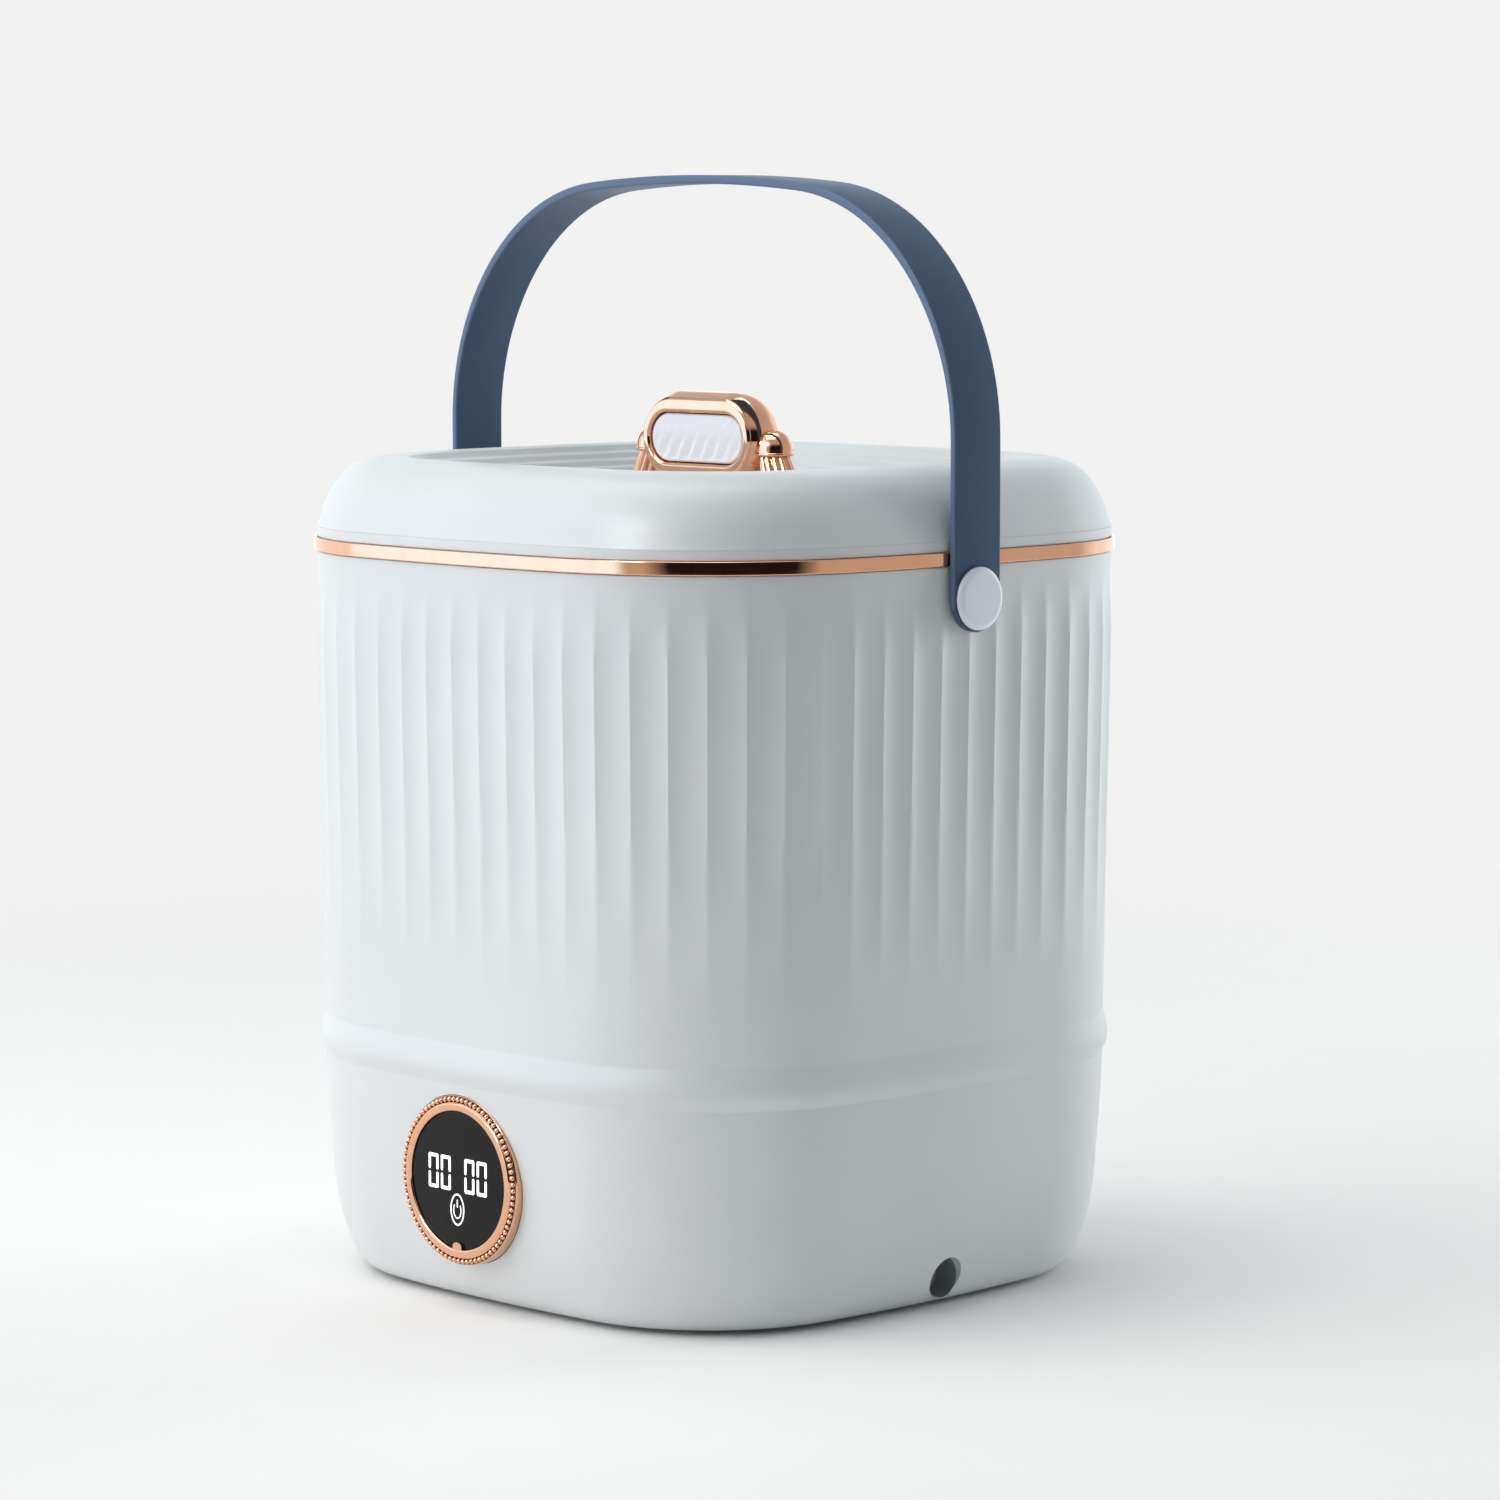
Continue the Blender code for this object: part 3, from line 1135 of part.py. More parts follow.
def build_drain():
    """Bent pipe from the tub's floor to the drain bore, and the stopper in its mouth."""
    rise = TUB_FLOOR + TUB_FLOOR_THICKNESS
    bend = DRAIN_BEND_RADIUS
    start_x = DRAIN_PIPE_X
    hub_x = start_x + bend
    hub_z = DRAIN_HEIGHT + bend
    outer = DRAIN_PIPE_DIAMETER / 2
    path = [((start_x, rise), 0.0)]
    for step in range(DRAIN_BEND_STEPS + 1):
        angle = pi / 2 * step / DRAIN_BEND_STEPS
        path.append(((hub_x - bend * cos(angle), hub_z - bend * sin(angle)), angle))
    path.append(((DRAIN_PIPE_END, DRAIN_HEIGHT), pi / 2))

    def tube(name, radius, overrun, cutter):
        rings = []
        last = len(path) - 1
        for index, ((x, z), angle) in enumerate(path):
            shift = -overrun if index == 0 else overrun if index == last else 0.0
            along_x, along_z = sin(angle), -cos(angle)
            rings.append([
                (
                    x + along_x * shift + radius * cos(turn) * cos(angle),
                    radius * sin(turn),
                    z + along_z * shift + radius * cos(turn) * sin(angle),
                )
                for turn in (2 * pi * k / SMALL_STEPS for k in range(SMALL_STEPS))
            ])
        return from_bmesh(name, skin(rings), TUB, cutter)

    pipe = tube("drain_pipe", outer, 0.0, False)
    boolean(pipe, tube("drain_pipe_bore", outer - DRAIN_PIPE_WALL, OVERRUN, True))
    face = STOPPER_FACE
    head = DRAIN_BORE_DIAMETER / 2 - GAP
    stem = outer - DRAIN_PIPE_WALL - GAP
    grip = STOPPER_GRIP_DIAMETER / 2
    turned("drain_stopper", [
        (0, face - STOPPER_GRIP_DEPTH), (grip - STOPPER_GRIP_DEPTH / 2, face - STOPPER_GRIP_DEPTH),
        (grip, face),
        (head - STOPPER_GRIP_DEPTH / 2, face), (head, face - STOPPER_GRIP_DEPTH / 2),
        (head, DRAIN_PIPE_END + GAP), (stem, DRAIN_PIPE_END + GAP),
        (stem, DRAIN_PIPE_END - STOPPER_STEM_LENGTH), (0, DRAIN_PIPE_END - STOPPER_STEM_LENGTH),
    ], PAD, (0, 0, DRAIN_HEIGHT), "right", SMALL_STEPS)


def build_inlet():
    """Round power socket through the back wall, with a contact pin in its mouth."""
    face = HALF_WIDTH - base_inset(INLET_HEIGHT + INLET_FLANGE_DIAMETER / 2) + GAP
    front = face + INLET_FLANGE_THICKNESS
    body = INLET_DIAMETER / 2
    flange = INLET_FLANGE_DIAMETER / 2
    jack = INLET_JACK_DIAMETER / 2
    pin = INLET_PIN_DIAMETER / 2
    turned("power_inlet", [
        (0, front - INLET_JACK_DEPTH / 4), (pin, front - INLET_JACK_DEPTH / 4), (pin, front - INLET_JACK_DEPTH),
        (jack, front - INLET_JACK_DEPTH), (jack, front), (flange - INLET_FLANGE_THICKNESS / 2, front),
        (flange, front - INLET_FLANGE_THICKNESS / 2), (flange, face), (body, face),
        (body, front - INLET_LENGTH), (0, front - INLET_LENGTH),
    ], DARK, (INLET_X, 0, INLET_HEIGHT), "back", SMALL_STEPS)


# Drive train

def build_bearings():
    """Housing under the tub floor with two bearings, and the seal in the floor."""
    bore = BEARING_DIAMETER / 2 + GAP
    tube = bore + BEARING_TUBE_WALL
    flange_top = TUB_FLOOR - GAP
    flange_bottom = flange_top - BEARING_FLANGE_THICKNESS
    shaft = SHAFT_DIAMETER / 2 + GAP
    upper = flange_bottom - BEARING_HEIGHT
    low = BEARING_TUBE_BOTTOM
    turned("bearing_housing", [
        (BEARING_FLANGE_DIAMETER / 2, flange_top), (BEARING_FLANGE_DIAMETER / 2, flange_bottom),
        (tube, flange_bottom), (tube, low), (bore, low), (bore, flange_top),
    ], STEEL, (0, 0, 0), closed=True, steps=ROUND_STEPS)
    for name, bottom in (("bearing_upper", upper), ("bearing_lower", low)):
        turned(name, ring_outline(
            BEARING_DIAMETER / 2, shaft, bottom, bottom + BEARING_HEIGHT,
        ), CHROME, (0, 0, 0), closed=True, steps=ROUND_STEPS)
    seal_low = flange_bottom + GAP
    seal_high = TUB_FLOOR + TUB_FLOOR_THICKNESS
    turned("shaft_seal", ring_outline(
        BEARING_DIAMETER / 2, shaft, seal_low, seal_high,
    ), RUBBER, (0, 0, 0), closed=True, steps=ROUND_STEPS)


def build_pulsator():
    """Disc with a central dome and radial vanes that stir the water, on its shaft under a cap nut."""
    outer = PULSATOR_RADIUS
    bore = SHAFT_DIAMETER / 2 + GAP
    plate_top = PULSATOR_BASE + PULSATOR_PLATE

    def vane(angle):
        return abs(cos(PULSATOR_VANES * angle / 2)) ** PULSATOR_VANE_SHARPNESS

    def ring(radius, height, vanes):
        points = []
        for k in range(PULSATOR_STEPS):
            angle = 2 * pi * k / PULSATOR_STEPS
            points.append((radius * cos(angle), radius * sin(angle), height + vanes * vane(angle)))
        return points

    rings = [ring(bore, PULSATOR_BASE, 0), ring(outer, PULSATOR_BASE, 0), ring(outer, plate_top, 0)]
    for share in PULSATOR_RING_SHARES:
        radius = outer * share
        dome = PULSATOR_DOME * max(0.0, 1 - radius / PULSATOR_DOME_RADIUS)
        rings.append(ring(radius, plate_top + dome, PULSATOR_VANE_HEIGHT * sqrt(sin(pi * share))))
    rings.append(ring(NUT_DIAMETER / 2 + 2 * GAP, plate_top + PULSATOR_DOME, 0))
    rings.append(ring(bore, plate_top + PULSATOR_DOME, 0))
    from_bmesh("pulsator", skin(rings, closed=True), TUB)
    seat = plate_top + PULSATOR_DOME
    shaft_top = seat + NUT_HEIGHT / 2
    turned("drive_shaft", [
        (0, shaft_top), (SHAFT_DIAMETER / 2, shaft_top), (SHAFT_DIAMETER / 2, SHAFT_FOOT), (0, SHAFT_FOOT),
    ], CHROME, (0, 0, 0), steps=SMALL_STEPS)
    nut = NUT_DIAMETER / 2
    turned("pulsator_cap", [
        (0, seat + NUT_HEIGHT), (nut * NUT_TOP_SHARE, seat + NUT_HEIGHT), (nut, seat + NUT_HEIGHT / 2),
        (nut, seat + GAP),
        (bore, seat + GAP), (bore, shaft_top + GAP), (0, shaft_top + GAP),
    ], TUB, (0, 0, 0), steps=ROUND_STEPS)


def pulley(name, radius, bore, x, y, web):
    """A grooved wheel; a large one is dished between its hub and its rim."""
    top = PULLEY_LEVEL + PULLEY_WIDTH / 2
    bottom = PULLEY_LEVEL - PULLEY_WIDTH / 2
    root = radius - GROOVE_DEPTH
    outline = [
        (radius, top), (radius, PULLEY_LEVEL + GROOVE_WIDTH / 2), (root, PULLEY_LEVEL + BELT_HEIGHT / 2 + GAP),
        (root, PULLEY_LEVEL - BELT_HEIGHT / 2 - GAP), (radius, PULLEY_LEVEL - GROOVE_WIDTH / 2),
        (radius, bottom),
    ]
    if web:
        rim = root - PULLEY_RIM
        outline += [
            (bore, bottom), (bore, top), (PULLEY_HUB_RADIUS, top),
            (PULLEY_HUB_RADIUS, bottom + web), (rim, bottom + web), (rim, top),
        ]
    else:
        outline += [(bore, bottom), (bore, top)]
    return turned(name, outline, DARK, (x, y, 0), closed=True, steps=ROUND_STEPS)


def build_drive():
    """Two pulleys, the belt round them, the motor, its shaft and the bracket it stands on."""
    pulley("driven_pulley", DRIVEN_RADIUS, SHAFT_DIAMETER / 2 + GAP, 0, 0, PULLEY_WEB)
    pulley("motor_pulley", MOTOR_PULLEY_RADIUS, MOTOR_SHAFT_DIAMETER / 2 + GAP, MOTOR_X, MOTOR_Y, 0)
    build_belt()
    base = BRACKET_LEVEL + BRACKET_THICKNESS + GAP
    top = base + MOTOR_HEIGHT
    can = MOTOR_DIAMETER / 2
    shaft = MOTOR_SHAFT_DIAMETER / 2
    boss = MOTOR_BOSS_DIAMETER / 2
    shaft_top = base + MOTOR_BOSS_HEIGHT + MOTOR_ROUND
    turned("motor", [
        (0, top + MOTOR_BOSS_HEIGHT), (boss, top + MOTOR_BOSS_HEIGHT), (boss, top), (can - MOTOR_ROUND, top),
        (can, top - MOTOR_ROUND), (can, base + MOTOR_ROUND), (can - MOTOR_ROUND, base),
        (shaft + GAP, base), (shaft + GAP, shaft_top + GAP), (0, shaft_top + GAP),
    ], STEEL, (MOTOR_X, MOTOR_Y, 0), steps=ROUND_STEPS)
    foot = PULLEY_LEVEL - PULLEY_WIDTH / 2
    turned("motor_shaft", [(0, shaft_top), (shaft, shaft_top), (shaft, foot), (0, foot)],
           CHROME, (MOTOR_X, MOTOR_Y, 0), steps=SMALL_STEPS)
    bracket = block(
        "motor_bracket",
        (MOTOR_X - BRACKET_HALF, MOTOR_Y - BRACKET_HALF, BRACKET_LEVEL),
        (MOTOR_X + BRACKET_HALF, MOTOR_Y + BRACKET_HALF, BRACKET_LEVEL + BRACKET_THICKNESS), STEEL,
    )
    boolean(bracket, disc(
        "bracket_hole", MOTOR_BOSS_DIAMETER, BRACKET_LEVEL - OVERRUN,
        BRACKET_LEVEL + BRACKET_THICKNESS + OVERRUN, None, (MOTOR_X, MOTOR_Y, 0), "up", SMALL_STEPS, cutter=True,
    ))
    for number, (x, y) in enumerate(post_places(), 1):
        boolean(bracket, disc(
            f"bracket_screw_hole_{number}", SCREW_DIAMETER + 2 * GAP, BRACKET_LEVEL - OVERRUN,
            BRACKET_LEVEL + BRACKET_THICKNESS + OVERRUN, None, (x, y, 0), "up", SCREW_STEPS, cutter=True,
        ))
        screw(f"bracket_screw_{number}", x, y, BRACKET_LEVEL + BRACKET_THICKNESS, BRACKET_SCREW_LENGTH)


def build_belt():
    """Flat-sided belt: two arcs round the pulleys' grooves and the straight runs between them."""
    large = DRIVEN_RADIUS - GROOVE_DEPTH + GAP
    small = MOTOR_PULLEY_RADIUS - GROOVE_DEPTH + GAP
    lean = acos((large - small) / MOTOR_OFFSET)

    def loop(extra, height):
        points = []
        for step in range(2 * BELT_STEPS + 1):
            angle = MOTOR_ANGLE + lean + (2 * pi - 2 * lean) * step / (2 * BELT_STEPS)
            radius = large + extra
            points.append((radius * cos(angle), radius * sin(angle), height))
        for step in range(BELT_STEPS + 1):
            angle = MOTOR_ANGLE - lean + 2 * lean * step / BELT_STEPS
            radius = small + extra
            points.append((MOTOR_X + radius * cos(angle), MOTOR_Y + radius * sin(angle), height))
        return points

    low = PULLEY_LEVEL - BELT_HEIGHT / 2
    high = PULLEY_LEVEL + BELT_HEIGHT / 2
    rings = [loop(0, low), loop(BELT_THICKNESS, low), loop(BELT_THICKNESS, high), loop(0, high)]
    return from_bmesh("drive_belt", skin(rings, closed=True), RUBBER)


def build_control_board():
    """Circuit board on two pegged posts of the cover."""
    low = COVER_TOP + BOARD_POST_HEIGHT + GAP
    board = block(
        "control_board",
        (BOARD_X - BOARD_LENGTH / 2, BOARD_Y - BOARD_WIDTH / 2, low),
        (BOARD_X + BOARD_LENGTH / 2, BOARD_Y + BOARD_WIDTH / 2, low + BOARD_THICKNESS), BOARD,
    )
    for number, (x, y) in enumerate(board_post_places(), 1):
        boolean(board, disc(
            f"board_hole_{number}", SCREW_DIAMETER + 2 * GAP, low - OVERRUN, low + BOARD_THICKNESS + OVERRUN,
            None, (x, y, 0), "up", SCREW_STEPS, cutter=True,
        ))


# Joint axes

def hang(empty_name, location, names):
    """Parent pieces to an empty on their joint's axis, without moving them."""
    empty = bpy.data.objects.new(empty_name, None)
    PARTS.objects.link(empty)
    empty.location = location
    inverse = Matrix.Translation(location).inverted()
    for name in names:
        piece = bpy.data.objects[name]
        piece.parent = empty
        piece.matrix_parent_inverse = inverse


clear_scene()
PARTS = new_collection("mini washing machine")
CUTTERS = new_collection("cutters")

BODY = new_material("pale_blue_grey_abs", (0.66, 0.71, 0.73), 0.42)
TUB = new_material("white_polypropylene", (0.82, 0.84, 0.85), 0.4)
DARK = new_material("dark_grey_plastic", (0.05, 0.05, 0.055), 0.5)
ROSE_GOLD = new_material("rose_gold_plating", (0.78, 0.45, 0.32), 0.16, metallic=1.0)
STRAP = new_material("navy_strap", (0.045, 0.075, 0.13), 0.4)
CAP = new_material("lavender_grey_plastic", (0.50, 0.53, 0.64), 0.35)
PAD = new_material("white_pad", (0.80, 0.81, 0.88), 0.35)
GLASS = new_material("black_display_glass", (0.01, 0.01, 0.011), 0.08)
RUBBER = new_material("black_rubber", (0.02, 0.02, 0.02), 0.7)
STEEL = new_material("zinc_plated_steel", (0.55, 0.55, 0.56), 0.35, metallic=1.0)
CHROME = new_material("ground_steel", (0.7, 0.7, 0.72), 0.2, metallic=1.0)
BOARD = new_material("green_circuit_board", (0.02, 0.16, 0.06), 0.5)

build_body_shell()
build_base_housing()
build_bottom_cover()
build_feet()
build_cover_screws()
build_trim_and_collar()
build_wash_tub()
build_lid()
build_knob()
build_handle()
build_pivots()
build_dial()
build_drain()
build_inlet()
build_bearings()
build_pulsator()
build_drive()
build_control_board()

hang("handle_axis", (0, 0, PIVOT_HEIGHT), ["handle_strap"])
hang("lid_axis", (0, 0, LID_BOTTOM), [
    "lid_shell", "lid_panel", "lid_liner", "lid_gasket", "knob_barrel", "knob_pillar_left", "knob_pillar_right",
    "knob_screw_left", "knob_screw_right", "pad_spring",
])
hang("pad_axis", (0, 0, KNOB_LEVEL), ["knob_pad"])
hang("drain_axis", (STOPPER_FACE, 0, DRAIN_HEIGHT), ["drain_stopper"])
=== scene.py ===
"""Mini washing machine: the visual model, laid out as an add-on and run as a script."""
from math import atan2, cos, pi, radians, sin, sqrt

import bpy
import numpy as np
from bpy.props import FloatProperty, FloatVectorProperty, IntProperty, PointerProperty
from bpy.types import Operator, Panel, PropertyGroup
from mathutils import Matrix, Vector


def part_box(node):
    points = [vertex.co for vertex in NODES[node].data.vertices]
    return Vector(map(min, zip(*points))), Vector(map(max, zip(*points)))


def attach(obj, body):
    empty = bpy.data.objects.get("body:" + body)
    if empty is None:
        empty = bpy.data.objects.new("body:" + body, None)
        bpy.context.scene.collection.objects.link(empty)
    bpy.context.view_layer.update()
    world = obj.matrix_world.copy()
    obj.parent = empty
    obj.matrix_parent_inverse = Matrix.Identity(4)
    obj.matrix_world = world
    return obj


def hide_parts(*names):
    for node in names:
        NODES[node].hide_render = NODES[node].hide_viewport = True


bl_info = {
    "name": "Mini Washing Machine",
    "version": (1, 0, 0),
    "blender": (4, 5, 0),
    "location": "View3D > Sidebar > Washer",
    "description": "Builds a fluted mini washing machine with its lid, knob, strap handle and display dial",
    "category": "Add Mesh",
}

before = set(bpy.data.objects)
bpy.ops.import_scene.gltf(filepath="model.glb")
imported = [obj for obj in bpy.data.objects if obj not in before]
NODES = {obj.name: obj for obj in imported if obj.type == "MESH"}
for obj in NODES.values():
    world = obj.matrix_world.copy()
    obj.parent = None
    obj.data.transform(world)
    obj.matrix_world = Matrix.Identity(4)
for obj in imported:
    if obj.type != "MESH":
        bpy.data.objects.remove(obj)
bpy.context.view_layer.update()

MM = 0.001
SMOOTH_ANGLE = radians(30)

# Steps round the plan, and what counts as nothing in a length or a share
PLAN_STEPS = 320
TINY = 1e-9

# Nearly all of a noise lies between these two values
NOISE_LOW, NOISE_HIGH = 0.3, 0.7

# Numbers of a Mix node's two colours and of its result
MIX_LOW, MIX_HIGH, MIX_RESULT = 6, 7, 2

# Plan of the body, as in the solids
HALF_WIDTH = 120 * MM
CORNER_RADIUS = 75 * MM
SIDE_RADIUS = 588 * MM

# Heights of the seams and of the round pieces' middles
SHELL_FOOT = 75.3 * MM
SHELL_SHOULDER = 246.4 * MM
SHELL_TOP = 249.5 * MM
KNOB_LEVEL = 284 * MM
PIVOT_LEVEL = 236 * MM
DIAL_LEVEL = 44 * MM

# Middles of the openings in the base, and how far out the tools that cut them reach
DIAL_CENTRE = (0, 0, DIAL_LEVEL)
DRAIN_CENTRE = (0, 0, 10.8 * MM)
INLET_CENTRE = (42 * MM, 0, 34 * MM)
CUT_REACH = 124 * MM

# Inset of the flute ridges at the shell's foot and at its top
RIDGE_FOOT = 3.3 * MM
RIDGE_TOP = 0.4 * MM

# Camera fitted to the photograph's edges
CAMERA_PLACE = (1.2720, -1.2306, 0.3650)
CAMERA_TURN = radians(45.555)
CAMERA_DROP = radians(6.05)
CAMERA_LENS = 125.14
CAMERA_SENSOR = 36
CAMERA_FAR = 60
# Point that the lamps aim at
AIM = Vector((0, 0, 0.15))

# Level direction of the studio's dark end, which the polished metal reflects near the camera
DARK_END = (cos(radians(-33)), sin(radians(-33)), 0)
# Level direction of the soft cool panel that the metal reflects in place of the key lamp
BRIGHT_END = (cos(radians(-121)), sin(radians(-121)), 0)


# Shapes as arrays

def mm(*values):
    """Lengths, or an outline's points, given in millimetres."""
    return np.array(values) * MM


def linear(code):
    """Linear red, green and blue of an sRGB hex colour."""
    values = np.array([int(code[k:k + 2], 16) for k in (1, 3, 5)]) / 255
    return tuple(np.where(values <= 0.04045, values / 12.92, ((values + 0.055) / 1.055) ** 2.4))


def outline(count):
    """Points and outward normals of the plan, evenly spaced by length from the middle of the right side.

    Each quarter is half a side arc, a corner arc and half a side arc; the arcs meet with one tangent.
    """
    reach = SIDE_RADIUS - HALF_WIDTH
    centre = (sqrt(2 * (SIDE_RADIUS - CORNER_RADIUS) ** 2 - reach ** 2) - reach) / 2
    half_angle = atan2(centre, centre + reach)
    side = SIDE_RADIUS * half_angle
    corner = CORNER_RADIUS * (pi / 2 - 2 * half_angle)
    quarter = 2 * side + corner
    run = np.arange(count) * 4 * quarter / count
    turn = np.floor(run / quarter + TINY)
    run = run - turn * quarter
    first = run <= side
    last = run > side + corner
    angle = np.select(
        [first, last],
        [run / SIDE_RADIUS, pi / 2 - half_angle + (run - side - corner) / SIDE_RADIUS],
        half_angle + (run - side) / CORNER_RADIUS,
    )
    radius = np.where(first | last, SIDE_RADIUS, CORNER_RADIUS)
    hub_x = np.select([first, last], [-reach, 0.0], centre)
    hub_y = np.select([first, last], [0.0, -reach], centre)
    normal = np.stack([np.cos(angle), np.sin(angle)], 1)
    point = np.stack([hub_x, hub_y], 1) + normal * radius[:, None]
    c, s = np.cos(turn * pi / 2), np.sin(turn * pi / 2)
    return tuple(
        np.stack([c * v[:, 0] - s * v[:, 1], s * v[:, 0] + c * v[:, 1]], 1) for v in (point, normal)
    )


def plan_surface(insets, heights, count):
    """Grid of points: the plan moved in by insets (rows, or rows by stations) at each row's height."""
    point, normal = outline(count)
    insets = np.atleast_2d(np.asarray(insets, float))
    if insets.shape[0] == 1:
        insets = insets.T
    flat = point[None] - normal[None] * insets[..., None]
    level = np.broadcast_to(np.asarray(heights, float)[:, None, None], flat.shape[:2] + (1,))
    return np.concatenate([flat, level], 2)


def rounded(points, radius, steps=4, closed=False):
    """A polyline whose corners are quadratic blends that start and end a radius away from the corner.

    A blend takes no more than a little under half of the sides that it joins.
    """
    side_share = 0.45
    points = np.asarray(points, float)
    count = len(points)
    radii = np.broadcast_to(radius, (count,))
    out = []
    for k in range(count):
        here = points[k]
        if not closed and k in (0, count - 1):
            out.append(here[None])
            continue
        back, ahead = points[k - 1] - here, points[(k + 1) % count] - here
        back_length, ahead_length = np.hypot(*back), np.hypot(*ahead)
        reach = min(radii[k], side_share * back_length, side_share * ahead_length)
        if reach <= 0:
            out.append(here[None])
            continue
        start, end = here + back / back_length * reach, here + ahead / ahead_length * reach
        t = np.linspace(0, 1, steps + 1)[:, None]
        out.append((1 - t) ** 2 * start + 2 * t * (1 - t) * here + t ** 2 * end)
    return np.concatenate(out)


def spline(points, steps):
    """Catmull-Rom curve through points, with a number of steps between each two."""
    p = np.asarray(points, float)
    p = np.concatenate([[2 * p[0] - p[1]], p, [2 * p[-1] - p[-2]]])
    t = np.arange(steps)[:, None] / steps
    parts = [
        0.5 * (2 * b + (c - a) * t + (2 * a - 5 * b + 4 * c - d) * t ** 2 + (3 * b - a - 3 * c + d) * t ** 3)
        for a, b, c, d in zip(p, p[1:], p[2:], p[3:])
    ]
    return np.concatenate(parts + [p[-2:-1]])


def smooth_step(value):
    """0 below 0, 1 above 1, and a smooth S between them."""
    value = np.clip(value, 0, 1)
    return value * value * (3 - 2 * value)


def grid_parts(points, wrap_rows=False, caps=False):
    """Vertices and faces of a grid whose rows are rings.

    Its last row joins its first one where asked; caps close both with a fan round the row's middle.
    """
    rows, cols = points.shape[:2]
    verts = points.reshape(-1, 3)
    index = np.arange(rows * cols).reshape(rows, cols)
    if wrap_rows:
        index = np.vstack([index, index[:1]])
    index = np.hstack([index, index[:, :1]])
    corners = [index[:-1, :-1], index[:-1, 1:], index[1:, 1:], index[1:, :-1]]
    faces = np.stack(corners, -1).reshape(-1, 4).tolist()
    if caps:
        verts = np.concatenate([verts, [points[0].mean(0), points[-1].mean(0)]])
        ring = np.arange(cols)
        ahead = np.roll(ring, -1)
        base = (rows - 1) * cols
        faces += np.stack([ahead, ring, np.full(cols, rows * cols)], 1).tolist()
        faces += np.stack([ring + base, ahead + base, np.full(cols, rows * cols + 1)], 1).tolist()
    return verts, faces


def carried(profile, count=PLAN_STEPS, closed=True):
    """A profile of (inset, height) carried round the plan: a closed line, or one with a cap at both ends."""
    points = plan_surface(profile[:, 0], profile[:, 1], count)
    return grid_parts(points, wrap_rows=closed, caps=not closed)


def volume(verts, faces):
    """Signed volume inside the faces, positive where they point outwards."""
    total = 0.0
    for size in (3, 4):
        some = np.array([f for f in faces if len(f) == size], int)
        if len(some):
            a = verts[some[:, 0]]
            for k in range(1, size - 1):
                total += np.einsum("ij,ij->", a, np.cross(verts[some[:, k]], verts[some[:, k + 1]]))
    return total / 6


def join(parts):
    """One list of vertices and faces from several, each turned to face outwards."""
    all_verts, all_faces, start = [], [], 0
    for verts, faces in parts:
        verts = np.asarray(verts, float)
        if volume(verts, faces) < 0:
            faces = [face[::-1] for face in faces]
        all_faces += [[v + start for v in face] for face in faces]
        all_verts.append(verts)
        start += len(verts)
    return np.concatenate(all_verts), all_faces


def make(name, parts, material=None):
    """An object from grids, smooth-shaded except over sharp edges."""
    verts, faces = join(parts)
    mesh = bpy.data.meshes.new(name)
    mesh.from_pydata(verts.tolist(), [], faces)
    mesh.update()
    mesh.shade_smooth()
    mesh.set_sharp_from_angle(angle=SMOOTH_ANGLE)
    obj = bpy.data.objects.new(name, mesh)
    bpy.context.scene.collection.objects.link(obj)
    if material:
        mesh.materials.append(material)
    return obj


def tie(obj, body, slot, *nodes):
    """Tie a piece to its body and hide the solids that it stands for; the record slot is not used."""
    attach(obj, body)
    if nodes:
        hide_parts(*nodes)


def piece(name, parts, material, body, slot, *nodes):
    """Make a piece from grids and tie it."""
    tie(make(name, parts, material), body, slot, *nodes)


# Turns from an upright axis to the side that a turned piece faces
AXES = {
    "up": np.eye(3),
    "front": np.array([[1, 0, 0], [0, 0, 1], [0, -1, 0]], float),
    "back": np.array([[-1, 0, 0], [0, 0, 1], [0, 1, 0]], float),
    "right": np.array([[0, 1, 0], [0, 0, 1], [1, 0, 0]], float),
    "left": np.array([[0, -1, 0], [0, 0, 1], [-1, 0, 0]], float),
}


def lathe(profile, centre=(0, 0, 0), facing="up", steps=64):
    """A profile of (radius, height) turned about an axis.

    Ends at radius 0 close with a fan, and a profile without such ends is a closed line.
    """
    profile = np.asarray(profile, float)
    open_ends = profile[0, 0] < TINY and profile[-1, 0] < TINY
    body = profile[1:-1] if open_ends else profile
    turn = 2 * pi * np.arange(steps) / steps
    local = np.stack([
        body[:, :1] * np.cos(turn), body[:, :1] * np.sin(turn), np.repeat(body[:, 1:], steps, 1)
    ], 2)
    verts, faces = grid_parts(local, wrap_rows=not open_ends, caps=open_ends)
    if open_ends:
        verts[-2:, 2] = profile[0, 1], profile[-1, 1]
    return verts @ AXES[facing] + np.asarray(centre), faces


def oval(half_length, radius, depth, count):
    """Upright stadium at a depth: two half circles and the straight runs between them, evenly spaced."""
    straight = 2 * half_length
    arc = pi * radius
    run = np.arange(count) / count * 2 * (straight + arc)
    side = np.where(run >= straight + arc, -1.0, 1.0)
    local = run - np.where(side < 0, straight + arc, 0.0)
    on_arc = local <= arc
    angle = -pi / 2 + local / radius
    x = np.where(on_arc, half_length + radius * np.cos(angle), half_length - (local - arc))
    z = np.where(on_arc, radius * np.sin(angle), radius)
    return np.stack([side * x, np.full(count, depth), KNOB_LEVEL + side * z], 1)


def cylinder(radius, low, high, centre, facing, steps):
    """A plain cutting tool."""
    profile = [(0, high), (radius, high), (radius, low), (0, low)]
    return make("cutter", [lathe(profile, centre, facing, steps)])


